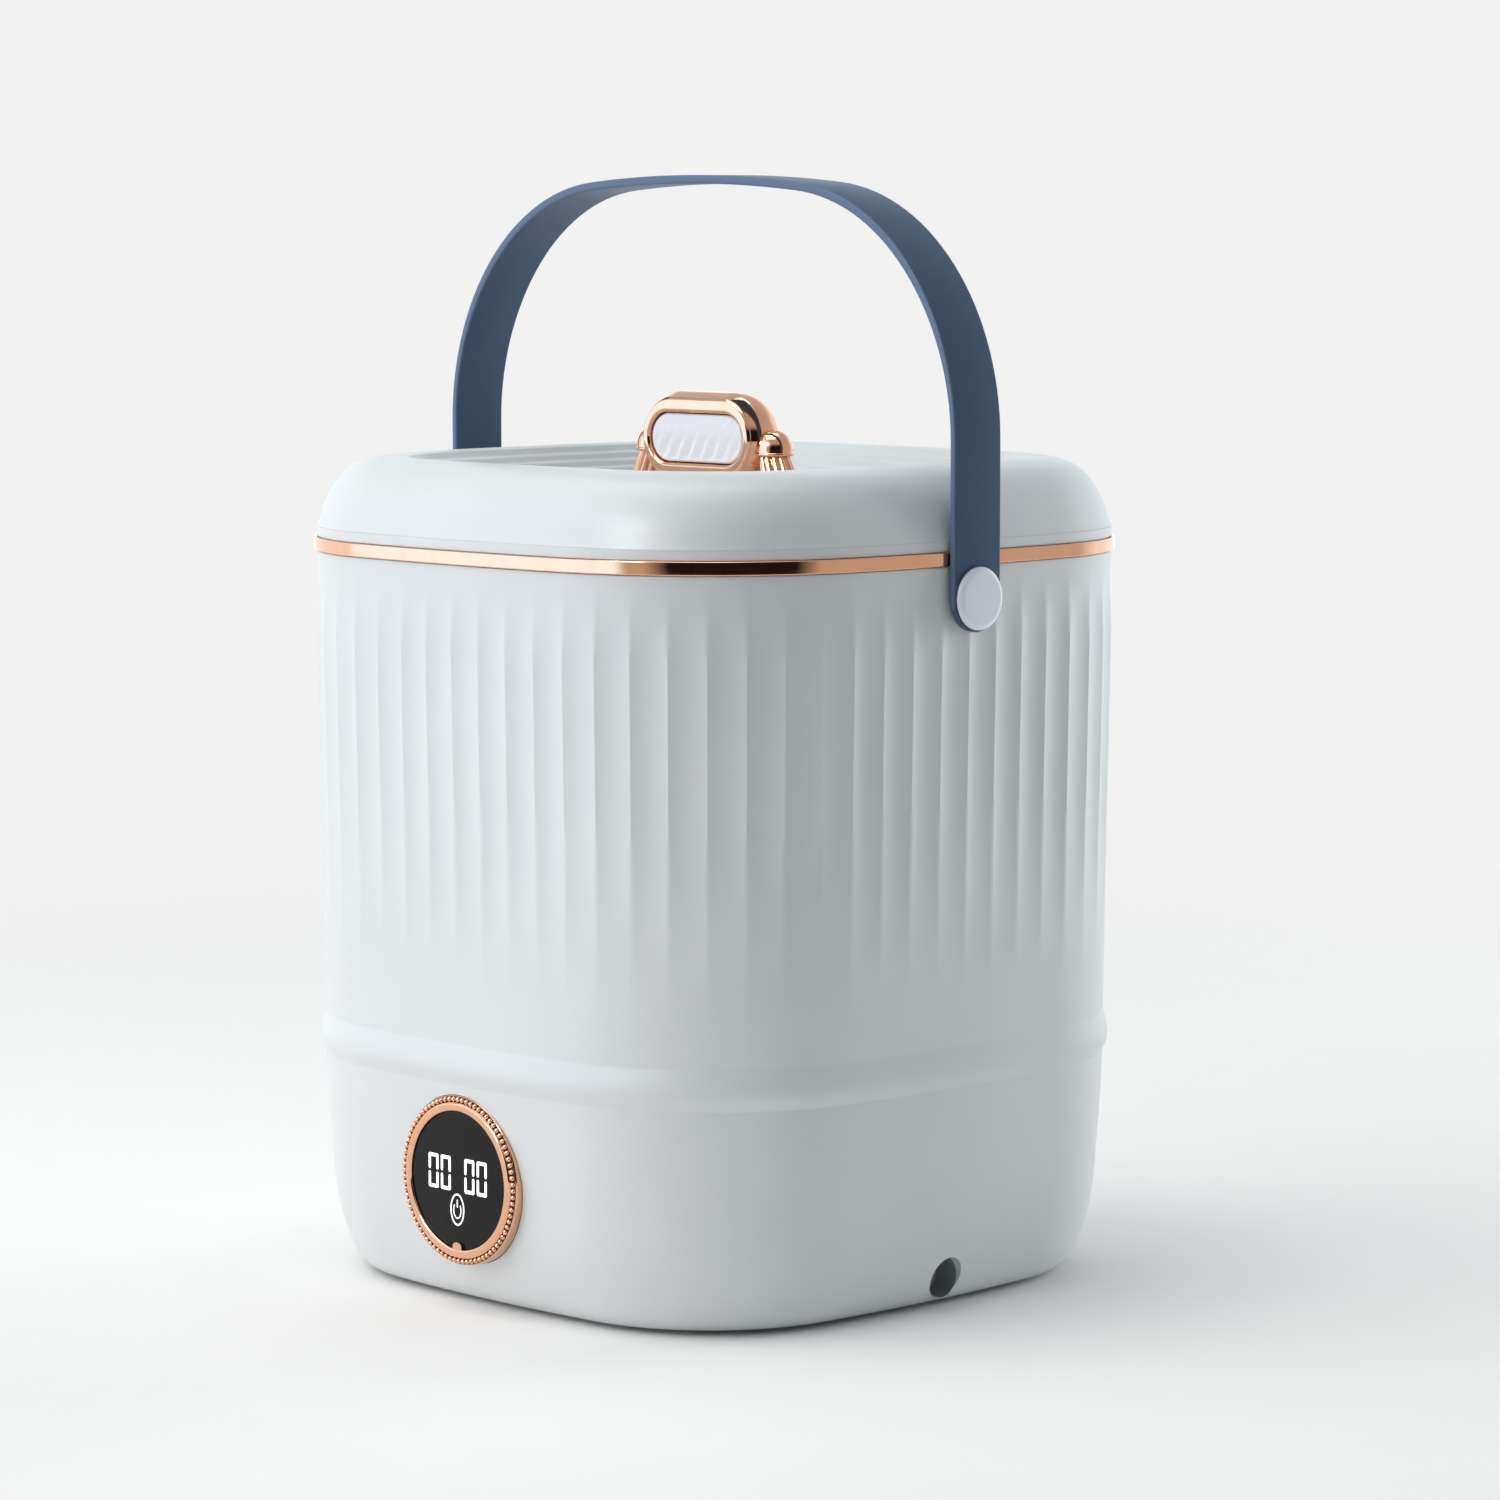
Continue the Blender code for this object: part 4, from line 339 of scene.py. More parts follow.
def cut(obj, *tools):
    """Cut each tool out of an object, keep the result as the object's own mesh and remove the tool."""
    for tool in tools:
        modifier = obj.modifiers.new("Cut", "BOOLEAN")
        modifier.operation = "DIFFERENCE"
        modifier.solver = "EXACT"
        modifier.object = tool
        graph = bpy.context.evaluated_depsgraph_get()
        mesh = bpy.data.meshes.new_from_object(obj.evaluated_get(graph))
        obj.modifiers.clear()
        obj.data = mesh
        bpy.data.objects.remove(tool, do_unlink=True)
        mesh.shade_smooth()
        mesh.set_sharp_from_angle(angle=SMOOTH_ANGLE)


# Materials

def feed(tree, item, inputs):
    """Set or link a node's inputs."""
    for key, value in inputs.items():
        if isinstance(value, bpy.types.NodeSocket):
            tree.links.new(value, item.inputs[key])
        else:
            item.inputs[key].default_value = value


def add(tree, kind, inputs=None, **settings):
    """Add a shader node, set its settings, and set or link its inputs."""
    item = tree.nodes.new("ShaderNode" + kind)
    for key, value in settings.items():
        setattr(item, key, value)
    feed(tree, item, inputs or {})
    return item


def set_stops(ramp, *stops):
    """Give a colour ramp its stops in order, each a position and a colour."""
    elements = ramp.color_ramp.elements
    for element, (position, colour) in zip(elements, (stops[0], stops[-1])):
        element.position, element.color = position, (*colour, 1)
    for position, colour in stops[1:-1]:
        elements.new(position).color = (*colour, 1)


def blank(name):
    """An empty node material: its tree, its Principled shader and Object coordinates."""
    material = bpy.data.materials.new(name)
    material.use_nodes = True
    tree = material.node_tree
    tree.nodes.clear()
    shader = add(tree, "BsdfPrincipled")
    add(tree, "OutputMaterial", {"Surface": shader.outputs["BSDF"]})
    place = add(tree, "TexCoord").outputs["Object"]
    return material, tree, shader, place


def grain(tree, place, size, detail, stretch=None):
    """Noise whose blotches are a given size across, stretched along an axis where asked."""
    if stretch:
        place = add(tree, "Mapping", {"Vector": place, "Scale": stretch}).outputs["Vector"]
    return add(tree, "TexNoise", {"Vector": place, "Scale": 1 / size, "Detail": detail}).outputs["Fac"]


def between(tree, factor, low, high):
    """Map a noise onto a range of numbers."""
    inputs = {"Value": factor, "From Min": NOISE_LOW, "From Max": NOISE_HIGH, "To Min": low, "To Max": high}
    return add(tree, "MapRange", inputs).outputs["Result"]


def tint(tree, factor, colour, lift):
    """The colour, drifting a little darker and lighter with a noise."""
    ramp = add(tree, "ValToRGB", {"Fac": factor})
    darker = [c * (1 - lift) for c in colour]
    lighter = [min(1.0, c * (1 + lift)) for c in colour]
    set_stops(ramp, (NOISE_LOW, darker), (NOISE_HIGH, lighter))
    return ramp.outputs["Color"]


def moulded(name, colour, roughness, grain_size, relief, ior=1.53, spread=0.05):
    """Moulded plastic: eroded-tool grain in the bump and the roughness, and a slow drift of colour."""
    material, tree, shader, place = blank(name)
    slow = grain(tree, place, 60 * MM, detail=2.0)
    fine = grain(tree, place, grain_size, detail=4.0)
    bump = add(tree, "Bump", {"Height": fine, "Strength": 0.35, "Distance": relief})
    feed(tree, shader, {
        "Base Color": tint(tree, slow, colour, lift=0.02),
        "Roughness": between(tree, fine, roughness - spread, roughness + spread),
        "Normal": bump.outputs["Normal"],
        "IOR": ior,
    })
    return material


def nylon(name, colour, highlight_colour):
    """Moulded nylon: fine grain, low gloss, and a painted highlight: a paler colour far from the middle line,
    at both long edges, where they catch the light.
    """
    material, tree, shader, place = blank(name)
    fine = grain(tree, place, 0.8 * MM, detail=4.0)
    slow = grain(tree, place, 25 * MM, detail=2.0)
    across = add(tree, "SeparateXYZ", {"Vector": place}).outputs["Y"]
    away = add(tree, "Math", {0: across}, operation="ABSOLUTE").outputs["Value"]
    # Painted highlight: the colour turns paler towards both long edges, where they catch the light
    edge_highlight = add(tree, "MapRange", {"Value": away, "From Min": 10.2 * MM, "From Max": 10.8 * MM})
    shown = add(tree, "Mix", {
        0: edge_highlight.outputs["Result"],
        MIX_LOW: tint(tree, slow, colour, lift=0.05),
        MIX_HIGH: (*highlight_colour, 1.0),
    }, data_type="RGBA")
    bump = add(tree, "Bump", {"Height": fine, "Strength": 0.3, "Distance": 0.006 * MM})
    feed(tree, shader, {
        "Base Color": shown.outputs[MIX_RESULT],
        "Roughness": between(tree, fine, 0.42, 0.48),
        "Normal": bump.outputs["Normal"],
        "Specular IOR Level": 0.22,
    })
    return material


def plated(name, colour, roughness, wave):
    """Polished plating: a mirror with a slow ripple of the plastic under it and faint handling haze."""
    material, tree, shader, place = blank(name)
    haze = grain(tree, place, 7 * MM, detail=3.0)
    ripple = grain(tree, place, 5 * MM, detail=1.0)
    bump = add(tree, "Bump", {"Height": ripple, "Strength": 0.25, "Distance": wave})
    feed(tree, shader, {
        "Base Color": tint(tree, haze, colour, lift=0.03),
        "Roughness": between(tree, haze, roughness * 0.7, roughness * 1.4),
        "Normal": bump.outputs["Normal"],
        "Metallic": 1.0,
    })
    return material


def turned_metal(name, colour, roughness):
    """Machined or zinc-plated steel: fine uneven streaks and spangle in the colour and the roughness."""
    material, tree, shader, place = blank(name)
    spread = 0.08
    streak = grain(tree, place, 1.2 * MM, detail=4.0, stretch=(1, 1, 6))
    feed(tree, shader, {
        "Base Color": tint(tree, streak, colour, lift=0.06),
        "Roughness": between(tree, streak, roughness - spread, roughness + spread),
        "Metallic": 1.0,
    })
    return material


def window_glass(name, colour):
    """Back-printed acrylic window: black under a clear, nearly flawless gloss with a few faint smears."""
    material, tree, shader, place = blank(name)
    smear = grain(tree, place, 9 * MM, detail=3.0)
    feed(tree, shader, {
        "Base Color": tint(tree, smear, colour, lift=0.1),
        "Roughness": between(tree, smear, 0.05, 0.11),
        "IOR": 1.49,
        "Specular IOR Level": 0.2,
    })
    return material


def lit_segment(name, colour, power):
    """Lamp light through a white diffuser: an even glow, a little uneven towards the ends."""
    material, tree, shader, place = blank(name)
    glow = tint(tree, grain(tree, place, 2.5 * MM, detail=2.0), colour, lift=0.03)
    feed(tree, shader, {
        "Base Color": glow,
        "Emission Color": glow,
        "Emission Strength": power,
        "Roughness": 0.4,
    })
    return material


def circuit(name, colour):
    """Solder mask over copper: darker and lighter tracks in a square grid."""
    material, tree, shader, place = blank(name)
    tracks = add(tree, "TexVoronoi", {"Vector": place, "Scale": 1 / (3 * MM)}, distance="MANHATTAN")
    mask = tint(tree, tracks.outputs["Distance"], colour, lift=0.35)
    feed(tree, shader, {"Base Color": mask, "Roughness": 0.4})
    return material


def floor_surface(settings):
    """Matt paper floor that fades with distance into the plain backdrop tone, so that no horizon shows."""
    material, tree, shader, place = blank("matt_paper")
    fibre = grain(tree, place, 30 * MM, detail=2.0)
    feed(tree, shader, {
        "Base Color": tint(tree, fibre, settings.floor, lift=0.004),
        "Roughness": 0.85,
        "Specular IOR Level": 0.15,
    })
    far, near_share = 1.15, (settings.floor_glow,) * 3
    distance = add(tree, "VectorMath", {0: place}, operation="LENGTH").outputs["Value"]
    distance = add(tree, "Math", {0: distance, 1: far}, operation="DIVIDE").outputs["Value"]
    fade = add(tree, "ValToRGB", {"Fac": distance})
    fade.color_ramp.interpolation = "EASE"
    set_stops(fade, (0.1, (0, 0, 0)), (0.2, near_share), (0.35, near_share), (1.0, (1, 1, 1)))
    seen = add(tree, "LightPath").outputs["Is Camera Ray"]
    share = add(tree, "Math", {0: fade.outputs["Color"], 1: seen}, operation="MULTIPLY")
    glow = add(tree, "Emission", {"Color": (*settings.backdrop, 1.0), "Strength": 1.0})
    mix = add(tree, "MixShader", {
        0: share.outputs["Value"], 1: shader.outputs["BSDF"], 2: glow.outputs["Emission"],
    })
    out = next(node for node in tree.nodes if node.type == "OUTPUT_MATERIAL")
    tree.links.new(mix.outputs["Shader"], out.inputs["Surface"])
    return material


def build_materials(colours):
    """Every finish of the machine, from the colours in the panel."""
    return {
        # Spark-eroded ABS: satin, with a faint even grain, drawn at 0.7 mm so that it shows
        "body": moulded("satin_abs", colours.body, 0.42, 0.7 * MM, 0.012 * MM),
        # Natural polypropylene: slightly waxy and smooth
        "tub": moulded("white_polypropylene", colours.tub, 0.38, 1.5 * MM, 0.01 * MM, ior=1.49),
        # Talc-filled polypropylene: dark with a coarse grain
        "dark": moulded("dark_grained_polypropylene", linear("#3a3b3e"), 0.5, 0.9 * MM, 0.04 * MM, ior=1.49),
        # Painted shade: the same plastic in mid grey, a sleeve that darkens the drain bore where shade falls
        "grey": moulded("painted_shade_grey_polypropylene", linear("#83898b"), 0.5, 0.9 * MM, 0.03 * MM, ior=1.49),
        # Vacuum-plated ABS: rose-gold mirror, softened by the moulding's ripple
        "rose": plated("rose_gold_plating", colours.metal, 0.07, 0.004 * MM),
        # Moulded nylon strap: dark, satin, with a painted highlight that makes the long edges paler, where
        # they catch the light
        "strap": nylon("navy_nylon", colours.strap, linear("#60728f")),
        # Painted ABS: pearly lavender grey
        "cap": moulded("lavender_painted_abs", colours.cap, 0.34, 1.2 * MM, 0.006 * MM),
        # Gloss ABS: cold white
        "pad": moulded("gloss_white_abs", colours.pad, 0.26, 1.4 * MM, 0.005 * MM, spread=0.03),
        # Back-printed acrylic: deep black with a clean reflection
        "glass": window_glass("black_acrylic_window", linear("#151516")),
        # Lit diffuser: an even white against the black window
        "digit": lit_segment("lit_white_segment", linear("#ffffff"), 0.75),
        # Nitrile rubber: dull black that catches little light
        "rubber": moulded("black_nitrile_rubber", linear("#222222"), 0.68, 0.8 * MM, 0.03 * MM),
        # Zinc-plated steel: pale grey with a soft spangle
        "zinc": turned_metal("zinc_plated_steel", linear("#b9bbc0"), 0.34),
        # Ground steel: brighter, with fine streaks
        "steel": turned_metal("ground_steel", linear("#c9cacc"), 0.22),
        # Solder mask: satin green over the copper's tracks
        "board": circuit("green_solder_mask", linear("#1f5a37")),
    }


# Pieces of the body

def ridge_inset(z):
    """Inset of the flute ridges: a straight draft between foot and top."""
    return RIDGE_FOOT + (RIDGE_TOP - RIDGE_FOOT) * (z - SHELL_FOOT) / (SHELL_TOP - SHELL_FOOT)


def shell_surface(settings):
    """Fluted wall: a soft bead as a spline, then parabola hollows under a plain top.

    The hollows fade slowly to the foot and quickly to the top, where the wall sinks in a little.
    """
    per_flute = 12
    count = settings.flutes * per_flute
    foot = spline(mm(
        (3.2, 75.06), (3.0, 75.9), (2.5, 77.1), (1.95, 78.4), (1.55, 79.8), (1.42, 81.3), (1.52, 82.8),
        (1.84, 84.5), (2.25, 86.2), (2.66, 87.9), (2.88, 88.8), (2.95, 89.4), (2.95, 90.4), (2.95, 92.0),
    ), 3)[:-1]
    level = np.concatenate([
        np.linspace(95, 170, 24), np.linspace(176, 212, 4), np.linspace(217, 243.5, 15), [244.5]
    ]) * MM
    flute_foot, foot_fade, flute_top, top_fade = mm(97, 75, 243, 24)
    sink_start, sink_run = mm(218, 22)
    depth = smooth_step((level - flute_foot) / foot_fade) * smooth_step((flute_top - level) / top_fade)
    sink = settings.sink * smooth_step((level - sink_start) / sink_run)
    wall = np.stack([ridge_inset(level) + sink, level], 1)
    shoulder, rebate = ridge_inset(SHELL_SHOULDER) + settings.sink, 1.9 * MM
    rest = rounded([
        (shoulder, 245.2 * MM), (shoulder, SHELL_SHOULDER), (rebate, SHELL_SHOULDER), (rebate, SHELL_TOP),
        (3.65 * MM, SHELL_TOP), (6 * MM, 75.1 * MM), (3.5 * MM, 75.05 * MM),
    ], 0.25 * MM, 2)
    profile = np.concatenate([foot, wall, rest])
    hollows = np.concatenate([np.zeros(len(foot)), depth, np.zeros(len(rest))])
    phase = (np.arange(count) % per_flute) / per_flute
    scallop = 4 * phase * (1 - phase) * settings.flute_depth
    insets = profile[:, :1] + hollows[:, None] * scallop[None]
    return grid_parts(plan_surface(insets, profile[:, 1], count), wrap_rows=True)


def build_shell(settings, looks):
    """Fluted shell between the base and the trim."""
    piece("fluted_shell", [shell_surface(settings)], looks["body"], "body", "body_abs", "body_shell")


def build_rings(looks):
    """Rose-gold trim, flat with narrow bevels, and the collar that the lid rests on."""
    trim = rounded(mm(
        (1.6, 246.7), (0.4, 246.7), (0.2, 246.9), (0.17, 248.9), (0.2, 250.95), (0.4, 251.15), (1.6, 251.15)
    ), 0.15 * MM, closed=True)
    piece("trim_band", [carried(trim)], looks["rose"], "body", "rose_gold", "trim_ring")
    collar = rounded(mm(
        (1.2, 251.4), (1.2, 254.72), (6.65, 254.6), (6.65, 257.6), (8.65, 257.6), (8.65, 251.6)
    ), 0.1 * MM, closed=True)
    piece("collar_ring", [carried(collar)], looks["body"], "body", "body_abs", "top_collar")


def build_base(looks):
    """Bulging base with a round lower edge, hollowed by a wall inside its outline.

    Bosses stay round the dial's pocket and the drain bore, which are cut in, as the inlet's hole is.
    """
    wall, floor, floor_reach = mm(2.6, 7, 12)
    outside = spline(mm(
        (20.3, 1.5), (17.9, 1.7), (15.4, 3.0), (13.2, 5.2), (11.3, 8.8), (9.6, 13.6), (7.95, 19.3),
        (6.65, 25.6), (5.75, 33), (5.15, 42), (4.35, 52), (3.65, 62), (3.35, 70), (3.15, 74.7), (3.25, 75.0),
    ), 4)
    inside = outside[outside[:, 1] > floor] + (wall, 0)
    outline_points = np.concatenate([mm((23, 1.5)), outside, mm((6.3, 75), (6.3, 83))])
    hollow_points = np.concatenate([inside[:1] + (floor_reach, 0), inside, mm((8.3, 75), (8.3, 86))])
    base = make("base_shell", [carried(outline_points, closed=False)], looks["body"])
    hollow = make("base_hollow", [carried(hollow_points, closed=False)])
    dial_boss = cylinder(30.8 * MM, 107.2 * MM, CUT_REACH, DIAL_CENTRE, "front", 96)
    drain_boss = cylinder(9.5 * MM, 92 * MM, CUT_REACH, DRAIN_CENTRE, "right", 48)
    cut(hollow, dial_boss, drain_boss)
    dial_pocket = cylinder(28.34 * MM, 109.8 * MM, CUT_REACH, DIAL_CENTRE, "front", 96)
    drain_bore = cylinder(7 * MM, 80 * MM, CUT_REACH, DRAIN_CENTRE, "right", 64)
    inlet_hole = cylinder(6.3 * MM, 90 * MM, CUT_REACH, INLET_CENTRE, "back", 48)
    cut(base, hollow, dial_pocket, drain_bore, inlet_hole)
    tie(base, "body", "body_abs", "base_housing")


def build_lid(looks):
    """Pillow rim with four soft terraces down to the panel, and the panel."""
    side = spline(mm(
        (1.4, 254.78), (2.0, 256.4), (3.1, 260), (4.35, 263.4), (6.0, 266.7), (8.0, 269.8), (10.9, 273.0),
        (15.0, 275.7), (20.0, 277.3), (25.0, 277.95), (29.0, 278.1), (31.4, 277.85),
    ), 5)
    terraces = rounded(mm(
        (32.6, 277.5), (33.8, 275.3), (36.2, 275.1), (37.2, 272.9), (39.6, 272.7), (40.6, 270.5),
        (43.0, 270.3), (44.2, 267.6), (45.0, 267.3), (45.0, 264.6), (51.0, 264.6), (51.0, 262.2),
    ), 0.8 * MM)
    inside = mm(
        (42.6, 262.2), (42.0, 268.0), (32.6, 273.2), (20.0, 274.4), (12.0, 270.5), (8.0, 265.5), (5.4, 260.5),
        (4.0, 255.4), (3.6, 254.76), (1.5, 254.75),
    )
    rim = carried(np.concatenate([side, terraces, inside]))
    piece("lid_rim", [rim], looks["body"], "lid", "body_abs", "lid_shell")
    floor = rounded(mm((46.5, 264.9), (45.3, 264.9), (45.3, 266.9), (46.5, 266.9)), 0.3 * MM, 3)
    piece("lid_floor", [carried(floor, 240, closed=False)], looks["body"], "lid", "body_abs", "lid_panel")


# Knob

def build_knob(settings, looks):
    """Oval barrel with a framed pocket in front and a bulging back, its pad and its two pillars.

    The barrel's rows are (depth, radius), and its half length shrinks as the frame's radius grows.
    """
    frame_rows = rounded(mm(
        (-2.2, 0.6), (-2.2, 8.6), (-8.5, 8.6), (-9.3, 9.5), (-9.3, 12.7), (-8.3, 13.75), (-8.0, 13.75)
    ), mm(0, 0.5, 0.25, 0.25, 0.5, 0.3, 0), 5)
    back_rows = spline(mm(
        (-7.9, 13.8), (-6.7, 14.4), (-5.4, 15.0), (-4.1, 15.5), (-2.6, 15.65), (0.0, 15.6), (2.7, 15.0),
        (5.2, 13.8), (7.2, 11.8), (8.5, 9.0), (9.0, 5.0), (9.05, 0.6),
    ), 5)
    sections = np.concatenate([frame_rows, back_rows])
    frame_radii, half_lengths = mm(8.6, 13.7), mm(14.2, 12.15)
    lengths = np.interp(sections[:, 1], frame_radii, half_lengths)
    lengths[len(frame_rows):] = half_lengths[1]
    rows = np.stack([oval(length, radius, depth, 192) for (depth, radius), length in zip(sections, lengths)])
    barrel = grid_parts(rows, caps=True)
    piece("knob_barrel_shell", [barrel], looks["rose"], "lid", "rose_gold", "knob_barrel")
    stem = lathe(mm((0, 4.9), (2.5, 4.9), (2.5, -0.1), (0, -0.1)), (0, 0, KNOB_LEVEL), "front", 32)
    piece("press_pad", [pad_face(settings), stem], looks["pad"], "pad", "pad_plastic", "knob_pad")
    for side, word in ((1, "right"), (-1, "left")):
        post = pillar_parts(side, settings.reeds)
        piece(f"pillar_{word}", post, looks["rose"], "lid", "rose_gold", f"knob_pillar_{word}")


def pad_face(settings):
    """Flat oval with rounded edges and leaning ridges.

    Each ridge is a saw tooth across the pad, and grows towards the pad's lower edge.
    """
    half_length, pad_radius, face_radius, face_depth = mm(14, 8.2, 7.2, -8.3)
    ridge_radius, ridge_fade = mm(7.6, 1.2)
    lean, rise_share, fade_share = 0.45, 0.75, 0.35
    edge = rounded(mm((-4.8, 8.2), (-7.7, 8.2), (-8.3, 7.6), (-8.3, 7.3)), 0.7 * MM, 5)
    inner = np.linspace(7.2, 0.3, 30) * MM
    sections = np.concatenate([edge, np.stack([np.full(len(inner), face_depth), inner], 1)])
    rows = np.stack([
        oval(half_length * min(1, radius / face_radius), radius, depth, 240) for depth, radius in sections
    ])
    on_face = smooth_step((ridge_radius - sections[:, 1]) / ridge_fade)[:, None]
    drop = (KNOB_LEVEL - rows[..., 2]) / pad_radius
    across = (rows[..., 0] - lean * (rows[..., 2] - KNOB_LEVEL)) / settings.ridge_pitch
    tooth = across - np.floor(across)
    wave = smooth_step(tooth / rise_share) * smooth_step((1 - tooth) / (1 - rise_share))
    grown = smooth_step((drop + fade_share) / (2 * fade_share))
    rows[..., 1] += settings.ridge_depth * wave * on_face * grown
    return grid_parts(rows, caps=True)


def pillar_parts(side, reeds):
    """A leaning post under a collar and a dome: its radius is a taper less the fall of each round reed."""
    per_reed = 12
    count = reeds * per_reed
    turn = 2 * pi * np.arange(count) / count
    reed = np.sin(pi * (np.arange(count) % per_reed) / per_reed)
    head_x, foot_x = side * 28.8 * MM, side * 33 * MM
    foot_radius, taper, reed_depth = 7, 1.7, 1.05
    foot_level, height, dome_radius, dome_level = 267.1, 11.7, 6.5, 281
    share = np.linspace(0, 1, 9)[:, None]
    radius = (foot_radius - taper * share ** 0.8) * MM + (reed[None] - 1) * reed_depth * MM
    centre = foot_x + (head_x - foot_x) * share
    level = np.broadcast_to((foot_level + height * share) * MM, radius.shape)
    leg = np.stack([centre + radius * np.cos(turn), radius * np.sin(turn), level], 2)
    dome = [(dome_radius * cos(a), dome_level + dome_radius * sin(a)) for a in np.linspace(pi / 2, 0, 12)[1:]]
    head = rounded(mm(
        (0, dome_level + dome_radius), *dome, (dome_radius, 279.9), (6.75, 279.7), (6.75, 279.1),
        (6.3, 278.8), (5.0, 278.4), (0, 278.4),
    ), 0.15 * MM, 2)
    return [grid_parts(leg, caps=True), lathe(head, (head_x, 0, 0))]


# Handle

def strap_line():
    """Half of the strap's outer line, foot to top, with its outward normals, as rows of x, z, nx and nz.

    It runs up a straight leg, round a corner ellipse and along a shallow arch, which meet with one tangent.
    """
    half_span, top, arch, half_arch, half_width, leg_start = mm(122.4, 372.5, 530, 50, 11, 4)
    taller, first_angle = 1.05, 0.06
    lean = np.arcsin(half_arch / arch)
    last = np.arctan(taller / np.tan(lean))
    corner = (half_span - half_arch) / (1 - cos(last))
    centre_x = half_span - corner
    centre_z = top - arch * (1 - cos(lean)) - taller * corner * sin(last)
    foot = PIVOT_LEVEL - half_width * np.cos(np.linspace(first_angle, pi / 2, 12))
    leg = np.linspace(PIVOT_LEVEL + leg_start, centre_z, 8)[:-1]
    low = np.concatenate([foot, leg])
    bend = np.linspace(0, last, 31)
    rise = np.linspace(lean, 0, 12)[1:]
    lie = np.hypot(taller * np.cos(bend), np.sin(bend))
    upright = np.ones(len(low))
    return np.stack([
        np.concatenate([half_span * upright, centre_x + corner * np.cos(bend), arch * np.sin(rise)]),
        np.concatenate([low, centre_z + taller * corner * np.sin(bend), top - arch * (1 - np.cos(rise))]),
        np.concatenate([upright, taller * np.cos(bend) / lie, np.sin(rise)]),
        np.concatenate([0 * upright, np.sin(bend) / lie, np.cos(rise)]),
    ])


def strap_parts(thickness):
    """A rounded rectangle swept along the strap's line, narrowing as a circle does at both feet."""
    half_width, edge, extra, extra_start, extra_run = mm(11, 0.7, 0.7, 285, 60)
    steps = 6
    line = strap_line()
    mirror = np.array([-1, 1, -1, 1])[:, None]
    x, z, nx, nz = np.concatenate([line, (line * mirror)[:, -2::-1]], 1)
    half = np.sqrt(np.clip(half_width ** 2 - np.clip(PIVOT_LEVEL - z, 0, None) ** 2, 0, None))[:, None]
    thick = (thickness + extra * smooth_step((z - extra_start) / extra_run))[:, None]
    turn = np.linspace(0, pi / 2, steps)
    corner_y = np.concatenate([np.cos(turn), -np.sin(turn), -np.cos(turn), np.sin(turn)])
    corner_n = np.concatenate([np.sin(turn), np.cos(turn), -np.sin(turn), -np.cos(turn)])
    sign_y = np.repeat([1, -1, -1, 1], steps)
    sign_n = np.repeat([1, 1, -1, -1], steps)
    across = sign_y * np.clip(half - edge, 0, None) + corner_y * np.minimum(edge, half)
    out = sign_n * (thick / 2 - edge) + corner_n * edge - thick / 2
    points = np.stack([x[:, None] + nx[:, None] * out, across, z[:, None] + nz[:, None] * out], 2)
    return [grid_parts(points, caps=True)]


def build_handle(settings, looks):
    """Strap and the two caps that it turns on."""
    strap = strap_parts(settings.strap_thickness)
    piece("carry_strap", strap, looks["strap"], "handle", "strap_plastic", "handle_strap")
    profile = rounded(mm((0, 125), (8.7, 124.95), (10.3, 123.9), (10.3, 122.7), (0, 122.7)), 0.5 * MM)
    for word in ("right", "left"):
        face = lathe(profile, (0, 0, PIVOT_LEVEL), word, 72)
        piece(f"pivot_cap_{word}_face", [face], looks["cap"], "body", "cap_plastic", f"pivot_cap_{word}")


# Dial

def build_dial(settings, looks):
    """Turning ring with a beaded face and an index tab, a dark ring in its groove as painted shade beside the
    beads, and the fixed window with its digits.
    """
    ring = rounded(mm(
        (23.0, 116.9), (23.0, 117.6), (23.4, 118.0), (25.4, 118.0), (25.95, 117.5), (26.0, 115.0),
        (27.75, 115.0), (27.8, 116.9), (28.2, 116.5), (28.2, 110.1), (24.5, 110.1), (24.5, 116.9),
    ), 0.25 * MM, closed=True)
    size = settings.bead_size / 2
    reach, out, tab_foot = mm(26.87, 117.05, 23.6)
    arc = [(size * sin(a), size * cos(a)) for a in np.linspace(0, pi, 8)]
    ball, faces = lathe(arc, facing="front", steps=10)
    turn = 2 * pi * np.arange(settings.beads) / settings.beads
    beads = [(ball + (reach * cos(a), -out, DIAL_LEVEL + reach * sin(a)), faces) for a in turn]
    shape = rounded(mm((-2.4, 0), (-1.9, 2.5), (0, 3.1), (1.9, 2.5), (2.4, 0)), 0.6 * MM, 3)
    tab = np.stack([
        np.stack([shape[:, 0], np.full(len(shape), y), DIAL_LEVEL - tab_foot + shape[:, 1]], 1)
        for y in mm(-117.95, -117.3)
    ])
    parts = [lathe(ring, DIAL_CENTRE, "front", 240), *beads, grid_parts(tab, caps=True)]
    piece("beaded_dial_ring", parts, looks["rose"], "dial", "rose_gold", "dial_ring")
    # Painted shade: a dark ring laid in the groove beside the beads, for the shade in their pits
    groove = mm((26.05, 115.2), (26.05, 116.55), (27.7, 116.55), (27.7, 115.2))
    groove_shade = lathe(groove, DIAL_CENTRE, "front", 192)
    piece("dial_groove_painted_shade", [groove_shade], looks["dark"], "dial", "dark_plastic")
    pane = rounded(mm((0, 117.1), (22.6, 117.1), (23.2, 116.8), (23.2, 115.0), (0, 115.0)), 0.3 * MM, 3)
    window = lathe(pane, DIAL_CENTRE, "front", 128)
    piece("display_window", [window], looks["glass"], "body", "display_glass", "display_glass")
    piece("display_digits", digit_parts(), looks["digit"], "body", "display_glass")


def strip(left, right):
    """A flat band between two lines of (x, z) points, with a little thickness, on the face of the window."""
    front, back = mm(-117.16, -117)
    loop = [(left, front), (left, back), (right, back), (right, front)]
    rows = np.stack([np.stack([xy[:, 0], np.full(len(xy), y), xy[:, 1]], 1) for xy, y in loop], 1)
    return grid_parts(rows, caps=True)


